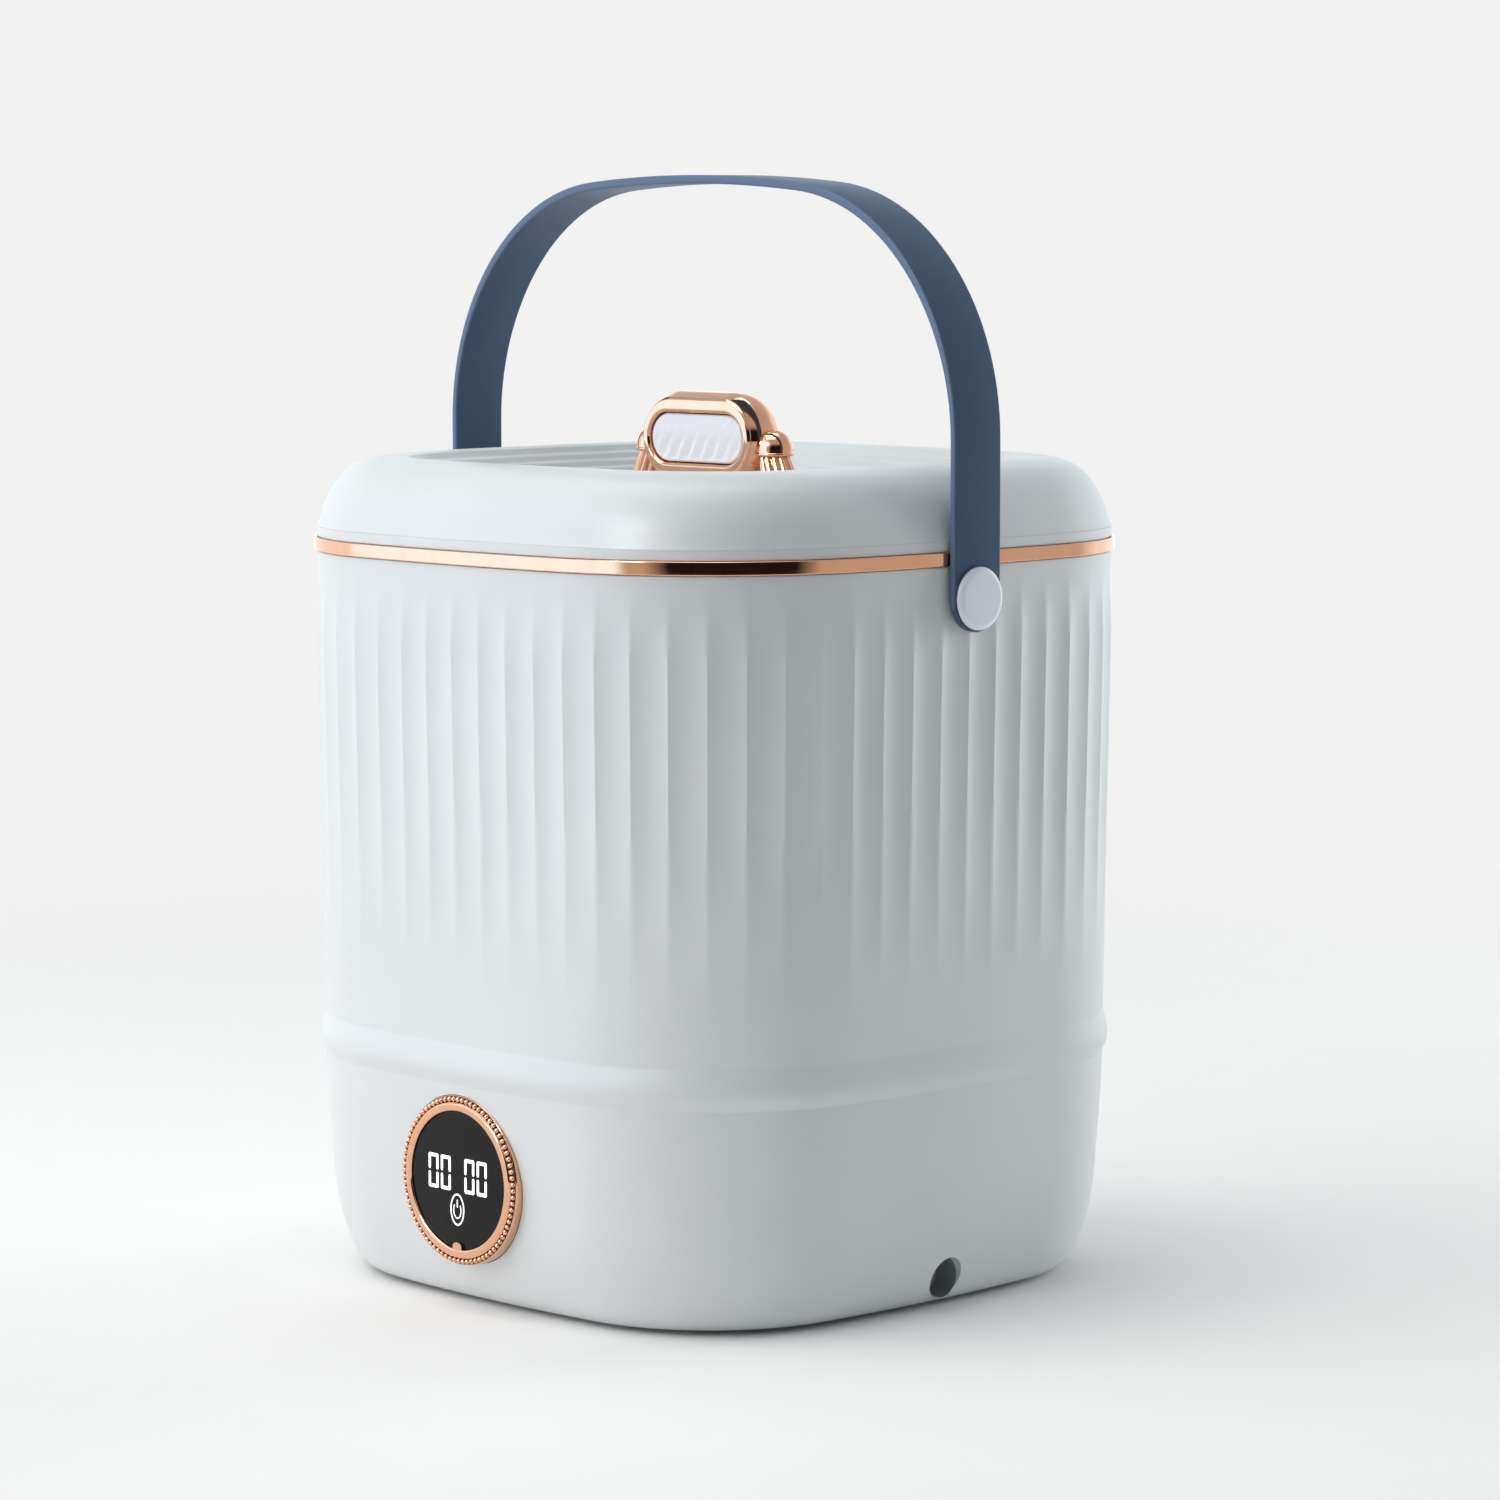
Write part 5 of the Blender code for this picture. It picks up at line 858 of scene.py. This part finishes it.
def arc_band(centre, radii, width, low, high):
    """A band along an ellipse's arc: the ellipse grown and shrunk by half the width."""
    t = np.linspace(low, high, 64)
    return strip(*(
        np.stack([centre[0] + (radii[0] + grow) * np.cos(t), centre[1] + (radii[1] + grow) * np.sin(t)], 1)
        for grow in (width / 2, -width / 2)
    ))


def digit_parts():
    """Four zeros in two pairs, each of two facing brackets, and a power mark in an oval below them."""
    half, tall, upright, level, gap, corner, nick, middle = mm(2.45, 5.75, 1.08, 1.2, 0.42, 0.45, 0.05, 45.85)
    reach, inner_tall = half - upright, tall - level
    outer = np.array([
        (-half + 0.5 * corner, gap), (-half, gap + corner), (-half, tall - corner), (-half + corner, tall),
        (half - corner, tall), (half, tall - corner), (half, gap + corner), (half - 0.5 * corner, gap),
    ])
    inner = np.array([
        (-reach - 0.5 * corner, gap), (-reach, gap + 1.6 * corner), (-reach, inner_tall - nick),
        (-reach + nick, inner_tall), (reach - nick, inner_tall), (reach, inner_tall - nick),
        (reach, gap + 1.6 * corner), (reach + 0.5 * corner, gap),
    ])
    parts = [
        strip(outer * (1, flip) + (x, middle), inner * (1, flip) + (x, middle))
        for x in mm(-12.35, -6.25, 5.45, 11.55) for flip in (1, -1)
    ]
    oval_centre, mark_centre = mm((-0.6, 34.15), (-0.6, 33.9))
    oval_radii, mark_radii = mm((3.15, 5.05), (1.8, 2.6))
    oval_width, mark_width = mm(0.54, 0.4)
    parts += [arc_band(oval_centre, oval_radii, oval_width, start, start + pi) for start in (0, pi)]
    parts.append(arc_band(mark_centre, mark_radii, mark_width, radians(138), radians(402)))
    stem = mm((-0.24, 34.9), (-0.24, 37.35), (-0.1, 37.5))
    parts.append(strip(*(stem * (flip, 1) + (mark_centre[0], 0) for flip in (1, -1))))
    return parts


# Small turned pieces

def build_fittings(looks):
    """Drain stopper, a mid-grey sleeve in its bore as painted shade, power inlet and feet."""
    stopper = rounded(mm(
        (0, 96.6), (2.6, 96.6), (3.1, 97.9), (6.2, 98.0), (6.7, 97.4), (6.7, 94.3), (4.8, 94.3), (4.8, 85.2),
        (0, 85.2),
    ), 0.35 * MM, 3)
    plug = lathe(stopper, DRAIN_CENTRE, "right")
    piece("stopper_plug", [plug], looks["pad"], "stopper", "pad_plastic", "drain_stopper")
    # Painted shade: a mid-grey sleeve lining the drain bore, for the shade inside it
    bore_shade = lathe(mm((6.85, 98.6), (6.85, 107.6), (6.97, 107.6), (6.97, 98.6)), DRAIN_CENTRE, "right")
    piece("drain_bore_shade", [bore_shade], looks["grey"], "body", "dark_plastic")
    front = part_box("power_inlet")[1][1] / MM
    inlet = rounded(mm(
        (0, front - 2.2), (0.7, front - 2.2), (1, front - 2.6), (1, front - 9), (2.8, front - 9),
        (2.8, front), (7.2, front), (8, front - 0.8), (8, front - 1.6), (6, front - 1.6), (6, front - 16),
        (0, front - 16),
    ), 0.25 * MM, 3)
    socket = lathe(inlet, INLET_CENTRE, "back")
    piece("inlet_socket", [socket], looks["dark"], "body", "dark_plastic", "power_inlet")
    foot = rounded(mm((0, 4.7), (3, 4.7), (3, 1.2), (8, 1.2), (8, 0), (0, 0)), 0.35 * MM, 3)
    for number, (x, y) in enumerate(mm((62, 62), (-62, 62), (-62, -62), (62, -62)), 1):
        pad = lathe(foot, (x, y, 0), steps=48)
        piece(f"rubber_foot_{number}", [pad], looks["rubber"], "body", "black_rubber", f"foot_{number}")


def tub_profile():
    """Wash tub in millimetres: drafted walls on quarter-round feet, outside and in, under a flat lip."""
    floor, top, top_inset, draft, wall = 88, 249.5, 6.85, 2.2, 1.8

    def inset(z):
        """Inset of the drafted outside at a height."""
        return top_inset + draft * (top - z) / (top - floor)

    def corner(angles, low, radius, thickness):
        """Quarter round from a floor into the wall, a thickness inside the drafted outside."""
        rise = radius * (1 - np.cos(angles))
        return np.stack([inset(low + rise) + thickness + radius * (1 - np.sin(angles)), low + rise], 1)

    angles = np.linspace(0, pi / 2, 9)
    lip = [(inset(249.8), 249.8), (1.9, 249.8), (1.9, 251.3), (inset(251.3) + wall, 251.3)]
    return np.concatenate([corner(angles, floor, 12, 0), lip, corner(angles[::-1], 90.4, 10.2, wall)])


def pulsator_rows():
    """Pulsator in millimetres: a low disc whose dome falls off in a straight line, and four vanes on it.

    Each vane is a fifth power of a cosine round the disc, and fades towards the rim and the dome.
    """
    turn = 2 * pi * np.arange(192) / 192
    disc_radius, dome_radius, dome_height, vane_height, face = 74, 30, 11, 9, 96
    vane = np.abs(np.cos(2 * turn)) ** 5
    share = np.array([0.985, 0.96, 0.9, 0.8, 0.68, 0.56, 0.44, 0.34, 0.26, 0.19, 0.14])
    radius = disc_radius * share
    dome = dome_height * np.clip(1 - radius / dome_radius, 0, 1)
    fade = np.sin(pi * share) ** 0.5 * np.clip((share - 0.1) / 0.12, 0, 1)
    heights = face + dome[:, None] + vane_height * fade[:, None] * vane
    top = np.stack([radius[:, None] * np.cos(turn), radius[:, None] * np.sin(turn), heights], 2)
    rim = [(4.4, 93), (73.6, 93), (74, 93.4), (74, 95.6), (73.6, 96)]
    low, high = (
        np.stack([np.stack([r * np.cos(turn), r * np.sin(turn), np.full(len(turn), z)], 1) for r, z in rings])
        for rings in (rim, [(8.2, 107), (4.4, 107)])
    )
    return np.concatenate([low, top, high])


def build_tub(looks):
    """Smooth wash tub, the pulsator disc with its vanes, and its cap."""
    tub = make("inner_tub", [carried(tub_profile() * MM, 256, closed=False)], looks["tub"])
    shaft_hole = cylinder(11.3 * MM, 80 * MM, 100 * MM, (0, 0, 0), "up", 64)
    drain_hole = cylinder(6.9 * MM, 80 * MM, 100 * MM, (60 * MM, 0, 0), "up", 48)
    cut(tub, shaft_hole, drain_hole)
    tie(tub, "body", "white_plastic", "wash_tub")
    disc = grid_parts(pulsator_rows() * MM, wrap_rows=True)
    piece("pulsator_disc", [disc], looks["tub"], "agitator", "white_plastic", "pulsator")
    cap = rounded(mm(
        (0, 112), (4.6, 112), (7.2, 109.8), (7.5, 107.3), (4.3, 107.3), (4.3, 109.9), (0, 109.9)
    ), 0.5 * MM, 3)
    piece("pulsator_nut", [lathe(cap)], looks["tub"], "agitator", "white_plastic", "pulsator_cap")


# Solids that stay as they are, by finish
CARRIED = {
    "tub": ["lid_liner", "pivot_washer_left", "pivot_washer_right", "drain_pipe"],
    "dark": ["bottom_cover", "display_housing", "driven_pulley", "motor_pulley"],
    "rubber": ["shaft_seal", "drive_belt", "lid_gasket"],
    "zinc": [
        "cover_screw_1", "cover_screw_2", "cover_screw_3", "cover_screw_4", "bearing_housing", "motor",
        "motor_bracket", "bracket_screw_1", "bracket_screw_2", "bracket_screw_3", "pivot_pin_left",
        "pivot_pin_right", "knob_screw_left", "knob_screw_right", "pad_spring",
    ],
    "steel": ["bearing_upper", "bearing_lower", "motor_shaft", "drive_shaft"],
    "board": ["control_board", "display_board"],
}


def dress_solids(looks):
    """Give the solids that stay their finishes."""
    for finish, names in CARRIED.items():
        for name in names:
            node = NODES[name]
            if not node.material_slots:
                node.data.materials.append(looks[finish])
            for slot in node.material_slots:
                slot.material = looks[finish]


# Stage

def area_light(name, turn, rise, size, power, colour=(1, 1, 1), distance=2.0):
    """A soft light round the machine at a compass angle, an elevation and a distance, aimed at its middle."""
    data = bpy.data.lights.new(name, "AREA")
    data.shape = "RECTANGLE"
    data.size, data.size_y = size
    data.energy = power
    data.color = colour
    turn, rise = radians(turn), radians(rise)
    away = Vector((cos(turn) * cos(rise), sin(turn) * cos(rise), sin(rise)))
    lamp = bpy.data.objects.new(name, data)
    lamp.location = away * distance + AIM
    lamp.rotation_euler = away.to_track_quat("Z", "Y").to_euler()
    bpy.context.scene.collection.objects.link(lamp)
    return lamp


def build_world(settings):
    """Even light, the plain backdrop to the camera, and to shiny surfaces a room that is dark at one end.

    Over the room's walls lie, in turn, a dusk that deepens with height, a soft cool panel and a pale ceiling.
    """
    world = bpy.data.worlds.new("studio")
    bpy.context.scene.world = world
    world.use_nodes = True
    tree = world.node_tree
    tree.nodes.clear()
    path = add(tree, "LightPath").outputs
    way = add(tree, "TexCoord").outputs["Generated"]
    height = add(tree, "SeparateXYZ", {"Vector": way}).outputs["Z"]
    toward = add(tree, "VectorMath", {0: way, 1: DARK_END}, operation="DOT_PRODUCT").outputs["Value"]
    share = add(tree, "Math", {0: toward, 1: 0.5, 2: 0.5}, operation="MULTIPLY_ADD").outputs["Value"]
    walls = add(tree, "ValToRGB", {"Fac": share})
    set_stops(
        walls, (0.28, (1.1, 1.22, 1.28)), (0.42, (0.64, 0.63, 0.61)), (0.76, (0.6, 0.57, 0.52)),
        (0.85, (0.6, 0.56, 0.48)), (0.92, (0.015, 0.012, 0.01)),
    )
    level = add(tree, "VectorMath", {0: way, 1: (1, 1, 0)}, operation="MULTIPLY").outputs["Vector"]
    level = add(tree, "VectorMath", {0: level}, operation="NORMALIZE").outputs["Vector"]
    toward = add(tree, "VectorMath", {0: level, 1: BRIGHT_END}, operation="DOT_PRODUCT").outputs["Value"]
    # Shares of the panel, across and by height, of the dusk and of the ceiling
    smooth = {"interpolation_type": "SMOOTHSTEP"}
    across, upright, risen, ceiling = (
        add(tree, "MapRange", {"Value": value, "From Min": low, "From Max": high}, **smooth).outputs["Result"]
        for value, low, high in (
            (toward, 0.82, 0.9), (height, 0.85, 0.6), (height, 0.32, 0.6), (height, 0.86, 0.97),
        )
    )
    panel, dusk = (
        add(tree, "Math", {0: first, 1: second}, operation="MULTIPLY").outputs["Value"]
        for first, second in ((across, upright), (risen, 0.85))
    )
    room = walls.outputs["Color"]
    for cover, colour in (
        (dusk, (0.55, 0.54, 0.52, 1)), (panel, (1.2, 1.85, 2.4, 1)), (ceiling, (0.95, 1.05, 1.12, 1)),
    ):
        inputs = {0: cover, MIX_LOW: room, MIX_HIGH: colour}
        room = add(tree, "Mix", inputs, data_type="RGBA").outputs[MIX_RESULT]
    light, plain, room = (
        add(tree, "Background", {"Color": colour, "Strength": strength}).outputs["Background"]
        for colour, strength in (
            ((0.8, 0.94, 1, 1), settings.world_light), ((*settings.backdrop, 1.0), 1.0), (room, 1.0),
        )
    )
    inputs = {0: path["Is Camera Ray"], 1: path["Is Transmission Ray"]}
    seen = add(tree, "Math", inputs, operation="MAXIMUM").outputs["Value"]
    mix = add(tree, "MixShader", {0: seen, 1: light, 2: plain})
    mix = add(tree, "MixShader", {0: path["Is Glossy Ray"], 1: mix.outputs["Shader"], 2: room})
    add(tree, "OutputWorld", {"Surface": mix.outputs["Shader"]})


def build_stage(settings):
    """Floor, world, lamps and the camera."""
    scene = bpy.context.scene
    scene.view_settings.view_transform = "Standard"
    steps = 96
    turn = 2 * pi * np.arange(steps) / steps
    edge = settings.floor_radius * np.stack([np.cos(turn), np.sin(turn), 0 * turn], 1)
    make("studio_floor", [(edge, [list(range(steps))])], floor_surface(settings))
    build_world(settings)
    key = area_light("key", -122, 27, (2.8, 2.6), settings.key_light, (1, 0.97, 0.95))
    rim = area_light("rim", 76, 6, (1.2, 1.4), settings.rim_light, distance=2.1)
    key.visible_glossy = rim.visible_glossy = False
    glint = area_light("glint", -88, 32, (0.5, 0.5), settings.glint_light)
    glint.visible_diffuse = False
    area_light("top", -150, 80, (1.6, 1.6), settings.top_light)
    data = bpy.data.cameras.new("photo_camera")
    data.sensor_width = CAMERA_SENSOR
    data.lens = CAMERA_LENS
    data.clip_end = CAMERA_FAR
    camera = bpy.data.objects.new("photo_camera", data)
    level = cos(CAMERA_DROP)
    ahead = Vector((-sin(CAMERA_TURN) * level, cos(CAMERA_TURN) * level, -sin(CAMERA_DROP)))
    right = Vector((cos(CAMERA_TURN), sin(CAMERA_TURN), 0))
    axes = Matrix((right, right.cross(ahead), -ahead)).transposed().to_4x4()
    camera.matrix_world = Matrix.Translation(CAMERA_PLACE) @ axes
    scene.collection.objects.link(camera)
    scene.camera = camera


# Settings that a user would change

def colour(name, description, code):
    """A colour, its default an sRGB hex code."""
    return FloatVectorProperty(name=name, description=description, subtype="COLOR", default=linear(code))


def length(name, description, default):
    """A length."""
    return FloatProperty(name=name, description=description, default=default, unit="LENGTH")


def lamp(name, description, default):
    """A lamp's power."""
    return FloatProperty(name=name, description=description, default=default, subtype="POWER")


class WasherColours(PropertyGroup):
    """Colours of the finishes."""

    body: colour("Body", "Satin ABS", "#dadddf")
    tub: colour("Tub", "Polypropylene", "#e3e6e8")
    metal: colour("Metal", "Rose-gold plating", "#ecb595")
    strap: colour("Strap", "Nylon strap", "#435772")
    cap: colour("Pivot cap", "Painted ABS", "#eef0fa")
    pad: colour("Pad", "Gloss ABS", "#e7e6ec")


class WasherBody(PropertyGroup):
    """Sizes of the relief, and the strap's thickness."""

    flutes: IntProperty(name="Flutes", description="Hollows round the wall", default=64, min=16, max=128)
    flute_depth: length("Flute depth", "Depth of each hollow", 0.95 * MM)
    sink: length("Top sink", "How far the plain top lies in", 0.8 * MM)
    ridge_pitch: length("Pad ridges", "Spacing of the pad's ridges", 5.8 * MM)
    ridge_depth: length("Ridge depth", "Depth of the pad's ridges", 0.3 * MM)
    reeds: IntProperty(name="Reeds", description="Reeds round each pillar", default=12, min=6, max=32)
    strap_thickness: length("Strap", "Thickness of the strap's legs", 2.2 * MM)
    beads: IntProperty(name="Beads", description="Beads on the dial", default=80, min=24, max=160)
    bead_size: length("Bead size", "Bead diameter", 1.85 * MM)


class WasherStage(PropertyGroup):
    """Floor, backdrop and lamps."""

    floor: colour("Floor", "Paper floor", "#f8f7f6")
    floor_radius: length("Floor radius", "Reach of the floor", 1.2)
    floor_glow: FloatProperty(name="Floor glow", description="Backdrop's share near the machine", default=0.2)
    backdrop: colour("Backdrop", "Tone behind", "#f2f2f2")
    key_light: lamp("Key", "Lamp at the left front", 41.0)
    rim_light: lamp("Rim", "Lamp at the right back", 34.5)
    glint_light: lamp("Glint", "Small lamp that only shines in the gloss", 22.0)
    top_light: lamp("Top", "Lamp overhead", 18.6)
    world_light: FloatProperty(name="World", description="Even light", default=0.22)


FINISHES = {}


def finishes(context):
    """The finishes, made once."""
    if not FINISHES:
        FINISHES.update(build_materials(context.scene.washer_colours))
    return FINISHES


class WASHER_OT_shell(Operator):
    """Build the fluted shell, the trim band and the collar"""

    bl_idname = "washer.shell"
    bl_label = "Shell and Trim"

    def execute(self, context):
        build_shell(context.scene.washer_body, finishes(context))
        build_rings(finishes(context))
        return {"FINISHED"}


class WASHER_OT_base(Operator):
    """Build the base with its pocket and bores"""

    bl_idname = "washer.base"
    bl_label = "Base"

    def execute(self, context):
        build_base(finishes(context))
        return {"FINISHED"}


class WASHER_OT_lid(Operator):
    """Build the lid and its panel"""

    bl_idname = "washer.lid"
    bl_label = "Lid"

    def execute(self, context):
        build_lid(finishes(context))
        return {"FINISHED"}


class WASHER_OT_knob(Operator):
    """Build the knob, its pad and its pillars"""

    bl_idname = "washer.knob"
    bl_label = "Knob"

    def execute(self, context):
        build_knob(context.scene.washer_body, finishes(context))
        return {"FINISHED"}


class WASHER_OT_handle(Operator):
    """Build the strap and the pivot caps"""

    bl_idname = "washer.handle"
    bl_label = "Handle"

    def execute(self, context):
        build_handle(context.scene.washer_body, finishes(context))
        return {"FINISHED"}


class WASHER_OT_dial(Operator):
    """Build the dial ring, the window and the digits"""

    bl_idname = "washer.dial"
    bl_label = "Dial"

    def execute(self, context):
        build_dial(context.scene.washer_body, finishes(context))
        return {"FINISHED"}


class WASHER_OT_fittings(Operator):
    """Build the stopper, the inlet and the feet"""

    bl_idname = "washer.fittings"
    bl_label = "Fittings"

    def execute(self, context):
        build_fittings(finishes(context))
        return {"FINISHED"}


class WASHER_OT_tub(Operator):
    """Build the tub and the pulsator, and dress the solids that stay"""

    bl_idname = "washer.tub"
    bl_label = "Tub and Drive"

    def execute(self, context):
        build_tub(finishes(context))
        dress_solids(finishes(context))
        return {"FINISHED"}


class WASHER_OT_stage(Operator):
    """Set up the floor, the lamps and the camera"""

    bl_idname = "washer.stage"
    bl_label = "Stage"

    def execute(self, context):
        build_stage(context.scene.washer_stage)
        return {"FINISHED"}


class WASHER_PT_panel(Panel):
    """Every builder and its settings"""

    bl_idname = "WASHER_PT_panel"
    bl_label = "Mini Washing Machine"
    bl_space_type = "VIEW_3D"
    bl_region_type = "UI"
    bl_category = "Washer"

    def draw(self, context):
        layout = self.layout
        for group in (context.scene.washer_body, context.scene.washer_colours, context.scene.washer_stage):
            box = layout.box()
            for name in group.__annotations__:
                box.prop(group, name)
        for operator in OPERATORS:
            layout.operator(operator.bl_idname)


GROUPS = (WasherColours, WasherBody, WasherStage)
OPERATORS = (
    WASHER_OT_stage, WASHER_OT_shell, WASHER_OT_base, WASHER_OT_lid, WASHER_OT_knob, WASHER_OT_handle,
    WASHER_OT_dial, WASHER_OT_fittings, WASHER_OT_tub,
)


def register():
    """Register the classes and hang the settings on the scene."""
    for item in GROUPS + OPERATORS + (WASHER_PT_panel,):
        bpy.utils.register_class(item)
    bpy.types.Scene.washer_colours = PointerProperty(type=WasherColours)
    bpy.types.Scene.washer_body = PointerProperty(type=WasherBody)
    bpy.types.Scene.washer_stage = PointerProperty(type=WasherStage)


def unregister():
    """Take the settings and the classes away again."""
    del bpy.types.Scene.washer_stage, bpy.types.Scene.washer_body, bpy.types.Scene.washer_colours
    for item in (WASHER_PT_panel,) + OPERATORS[::-1] + GROUPS[::-1]:
        bpy.utils.unregister_class(item)


def main():
    """Build everything in order."""
    register()
    bpy.ops.washer.stage()
    bpy.ops.washer.shell()
    bpy.ops.washer.base()
    bpy.ops.washer.lid()
    bpy.ops.washer.knob()
    bpy.ops.washer.handle()
    bpy.ops.washer.dial()
    bpy.ops.washer.fittings()
    bpy.ops.washer.tub()


if __name__ == "__main__":
    main()
